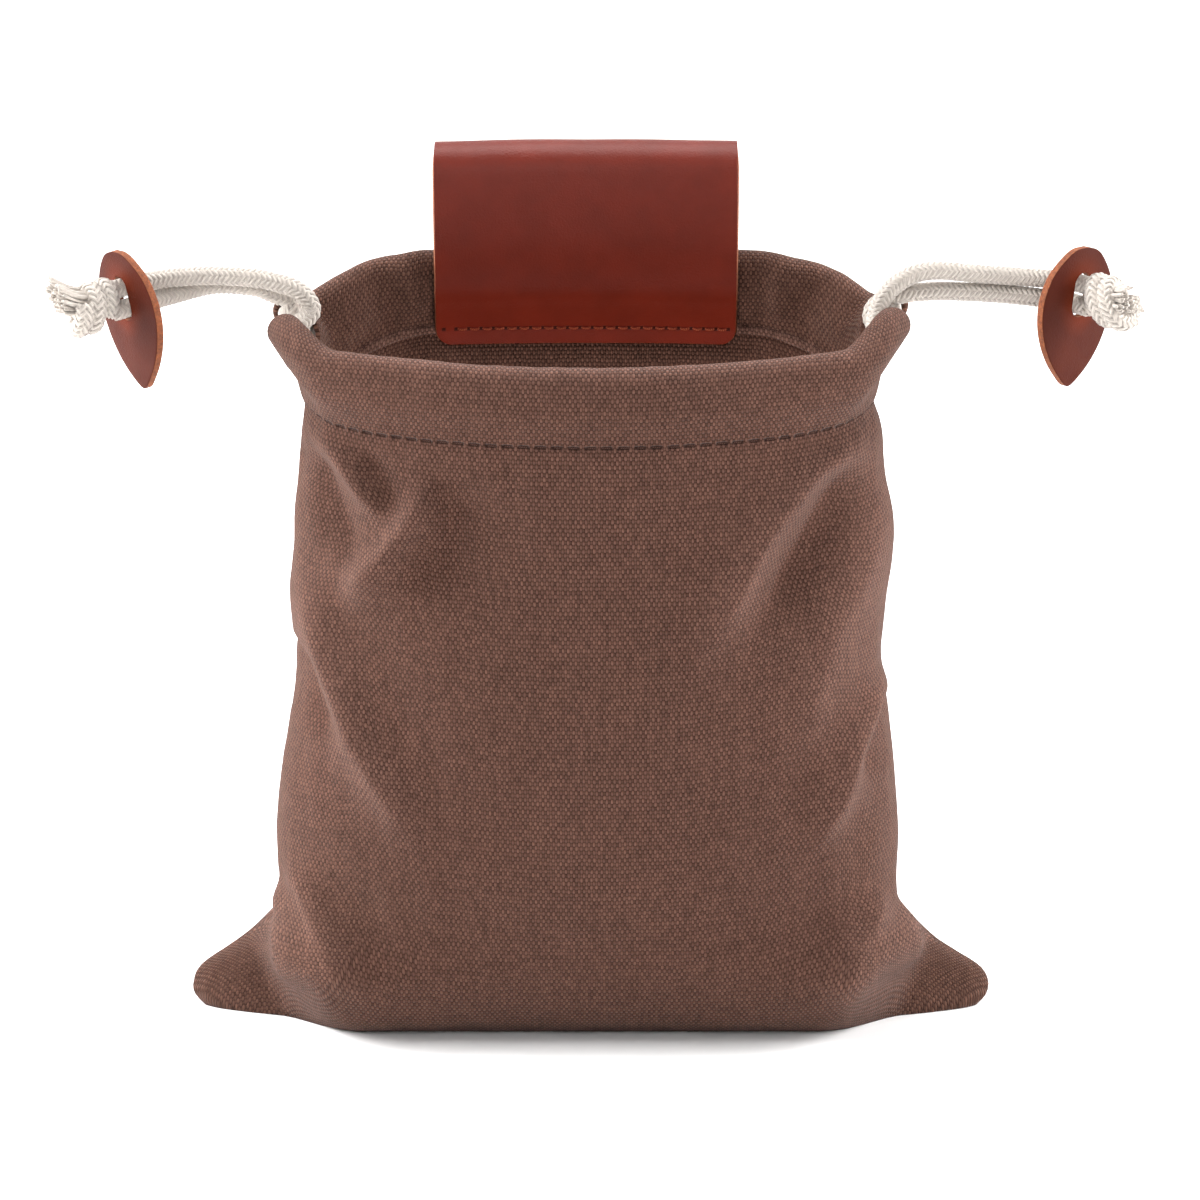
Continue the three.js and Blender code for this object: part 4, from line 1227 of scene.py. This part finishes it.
strap_stitches = Shell()
strap_thread = thread_finish("strap_thread", shade(104, 42, 27), shade(150, 72, 48))
for row_side in (-1, 1):
    target = row_side * LOOP_STITCH_V
    row = int(np.argmin(np.abs(loop_v[:, 32] - target)))
    xs = strap_points[row, :, 0] - LOOP_OFFSET
    count = int((LOOP_WIDTH / 2 - 3) / LOOP_STITCH_PITCH)
    for k in range(-count, count):
        place = (k + 0.5 + 0.5) * LOOP_STITCH_PITCH
        path = []
        for i in range(9):
            t = i / 8 - 0.5
            at = place + t * (LOOP_STITCH_PITCH - 0.9)
            point = Vector([np.interp(at, xs, strap_points[row, :, n]) for n in range(3)])
            out = Vector([np.interp(at, xs, strap_normals[row, :, n]) for n in range(3)])
            lift = 0.42 * (1 - abs(2 * t) ** 3) - 0.3
            sag = -0.35 * (1 - (2 * t) ** 2)
            path.append((point + out * lift + Vector((0, 0, sag))) * MM)
        strap_stitches.tube(path, 0.33 * MM, 8, v_scale=1 / MM)
finish_piece(strap_stitches.piece("strap_stitches", strap_thread), "leather")


# Toggles
LEAF = {
    "height": [0.0, 0.02, 0.08, 0.2, 0.34, 0.47, 0.6, 0.73, 0.85, 0.95, 0.99, 1.0],
    "half": [0.0, 0.3, 0.55, 0.84, 0.98, 1.0, 0.93, 0.77, 0.53, 0.24, 0.09, 0.0],
}
TOGGLE_CUP = 0.9


def leaf_outline():
    right = [Vector((half * TOGGLE_WIDTH / 2, (TOGGLE_HOLE_AT - down) * TOGGLE_HEIGHT, 0))
             for down, half in zip(LEAF["height"], LEAF["half"])]
    left = [Vector((-p.x, p.y, 0)) for p in reversed(right[1:-1])]
    smooth_right = spline(right, 0.6)
    smooth_left = [Vector((-p.x, p.y, 0)) for p in reversed(smooth_right[1:-1])]
    return [*smooth_right, *smooth_left] if left else smooth_right


def hole_reach(angle):
    """Distance from the middle of the hole to its edge in a direction."""
    radius = HOLE_WIDTH / 2
    rise = HOLE_LENGTH / 2 - radius
    low, high = 0.0, HOLE_LENGTH
    for _ in range(30):
        reach = (low + high) / 2
        x = reach * math.sin(angle)
        past = max(0, abs(reach * math.cos(angle)) - rise)
        if math.hypot(x, past) < radius:
            low = reach
        else:
            high = reach
    return reach


def build_toggle(name, end):
    outline = leaf_outline()
    rings = 16
    grid = []
    for r in range(rings + 1):
        row = []
        for p in outline:
            reach = hole_reach(math.atan2(p.x, p.y))
            edge = Vector((p.x, p.y, 0)).normalized() * reach
            row.append(edge.lerp(p, r / rings))
        grid.append(row)
    flat = np.array([[(p.x, p.y) for p in row] for row in grid])
    x, z = flat[..., 0], flat[..., 1]
    bend = TOGGLE_CUP * ((x / (TOGGLE_WIDTH / 2)) ** 2 - 0.3)
    half = TOGGLE_THICKNESS / 2
    outer = np.stack([x, bend - half, z], axis=2)
    inner = np.stack([x, bend + half, z], axis=2)
    vertices, faces, uvs = closed_sheet(outer, inner, flat, wrap=True)
    placed = [in_toggle(end, *v) for v in vertices]
    piece = add_mesh(name, placed, faces, toggle_leather, uvs)
    piece.data.materials.append(raw_edge)
    grid_faces = 2 * rings * len(outline)
    for polygon in piece.data.polygons:
        if polygon.index >= grid_faces:
            polygon.material_index = 1
    round_edges(piece, 0.3)
    return piece


toggles = {}
for end_name, end in ENDS.items():
    piece = build_toggle(f"{end_name}_leather_toggle", end)
    toggles[end_name] = finish_piece(piece, "leather", f"{end_name}_toggle")

for name, (piece, route) in strands.items():
    end_name, strand = name.split("_")[:2]
    on_it = [toggles[end_name], knots[end_name]] if strand == "front" else []
    path_length(route)


# Stage: a pale floor that sweeps up behind, soft light from above and the left
def build_stage():
    finish = Finish("pale_floor")
    place = finish.place()
    speck = finish.noise(place, 30, 2)
    colour = finish.blend(shade(250, 250, 250), shade(246, 246, 246), speck * 0.5 + 0.5)
    behind = finish.node("ShaderNodeSeparateXYZ", None, {0: place}, 1).step(0.25, 1.2)
    light = finish.blend((0, 0, 0, 1), (1, 1, 1, 1), behind)
    glow = {"Emission Color": light, "Emission Strength": 0.6}
    material = finish.surface(colour, 0.6, finish.bump(speck, 0.001 * MM), glow)
    profile = [(-3.0, 0), (1.5, 0)]
    for i in range(1, 13):
        angle = QUARTER * i / 12
        profile.append((1.5 + 1.2 * math.sin(angle), 1.2 * (1 - math.cos(angle))))
    profile.append((2.7, 4))
    vertices = [(x, y, z) for y, z in profile for x in (-4, 4)]
    faces = [(2 * i, 2 * i + 1, 2 * i + 3, 2 * i + 2) for i in range(len(profile) - 1)]
    floor = add_mesh("pale_floor", vertices, faces, material)


# The studio is white, and darker on the side that the photograph is taken from.
DIM_SIDE = 0.06
BRIGHT_SIDE = 0.95
LIGHTS = [
    {"name": "key_light", "at": (-1.1, -0.55, 1.2), "size": 0.5, "power": 9, "gloss": True},
    {"name": "left_light", "at": (-1.3, 0.15, 0.6), "size": 1.0, "power": 48, "gloss": True},
    {"name": "right_light", "at": (1.3, 0.1, 0.6), "size": 1.0, "power": 37, "gloss": True},
    {"name": "top_light", "at": (0, 0.2, 1.5), "size": 0.9, "power": 20, "gloss": True},
    {"name": "front_light", "at": (0.2, -1.3, 0.8), "size": 0.8, "power": 9, "gloss": True},
    {"name": "inner_light", "at": (0, -0.02, 0.06), "size": 0.05, "power": 0.3, "gloss": False},
]


def build_lights():
    for light in LIGHTS:
        data = bpy.data.lights.new(light["name"], "AREA")
        data.shape = "DISK"
        data.size = light["size"]
        data.energy = light["power"]
        lamp = bpy.data.objects.new(light["name"], data)
        lamp.location = light["at"]
        lamp.visible_camera = False
        lamp.visible_glossy = light["gloss"]
        aim = Vector((0, 0, 0.12)) - lamp.location
        lamp.rotation_euler = aim.to_track_quat("-Z", "Y").to_euler()
        bpy.context.collection.objects.link(lamp)
    studio = Finish("studio", bpy.data.worlds)
    depth = studio.node("ShaderNodeSeparateXYZ", None, {0: studio.node("ShaderNodeTexCoord")}, 1)
    white = studio.blend((*[DIM_SIDE] * 3, 1), (*[BRIGHT_SIDE] * 3, 1), depth.step(-0.45, 0.5))
    sky = studio.node("ShaderNodeBackground", None, {"Color": white, "Strength": 1.0})
    output = studio.tree.nodes.new("ShaderNodeOutputWorld")
    studio.tree.links.new(sky.socket, output.inputs["Surface"])
    bpy.context.scene.world = studio.owner
    bpy.context.scene.view_settings.view_transform = "Standard"


build_stage()
build_lights()
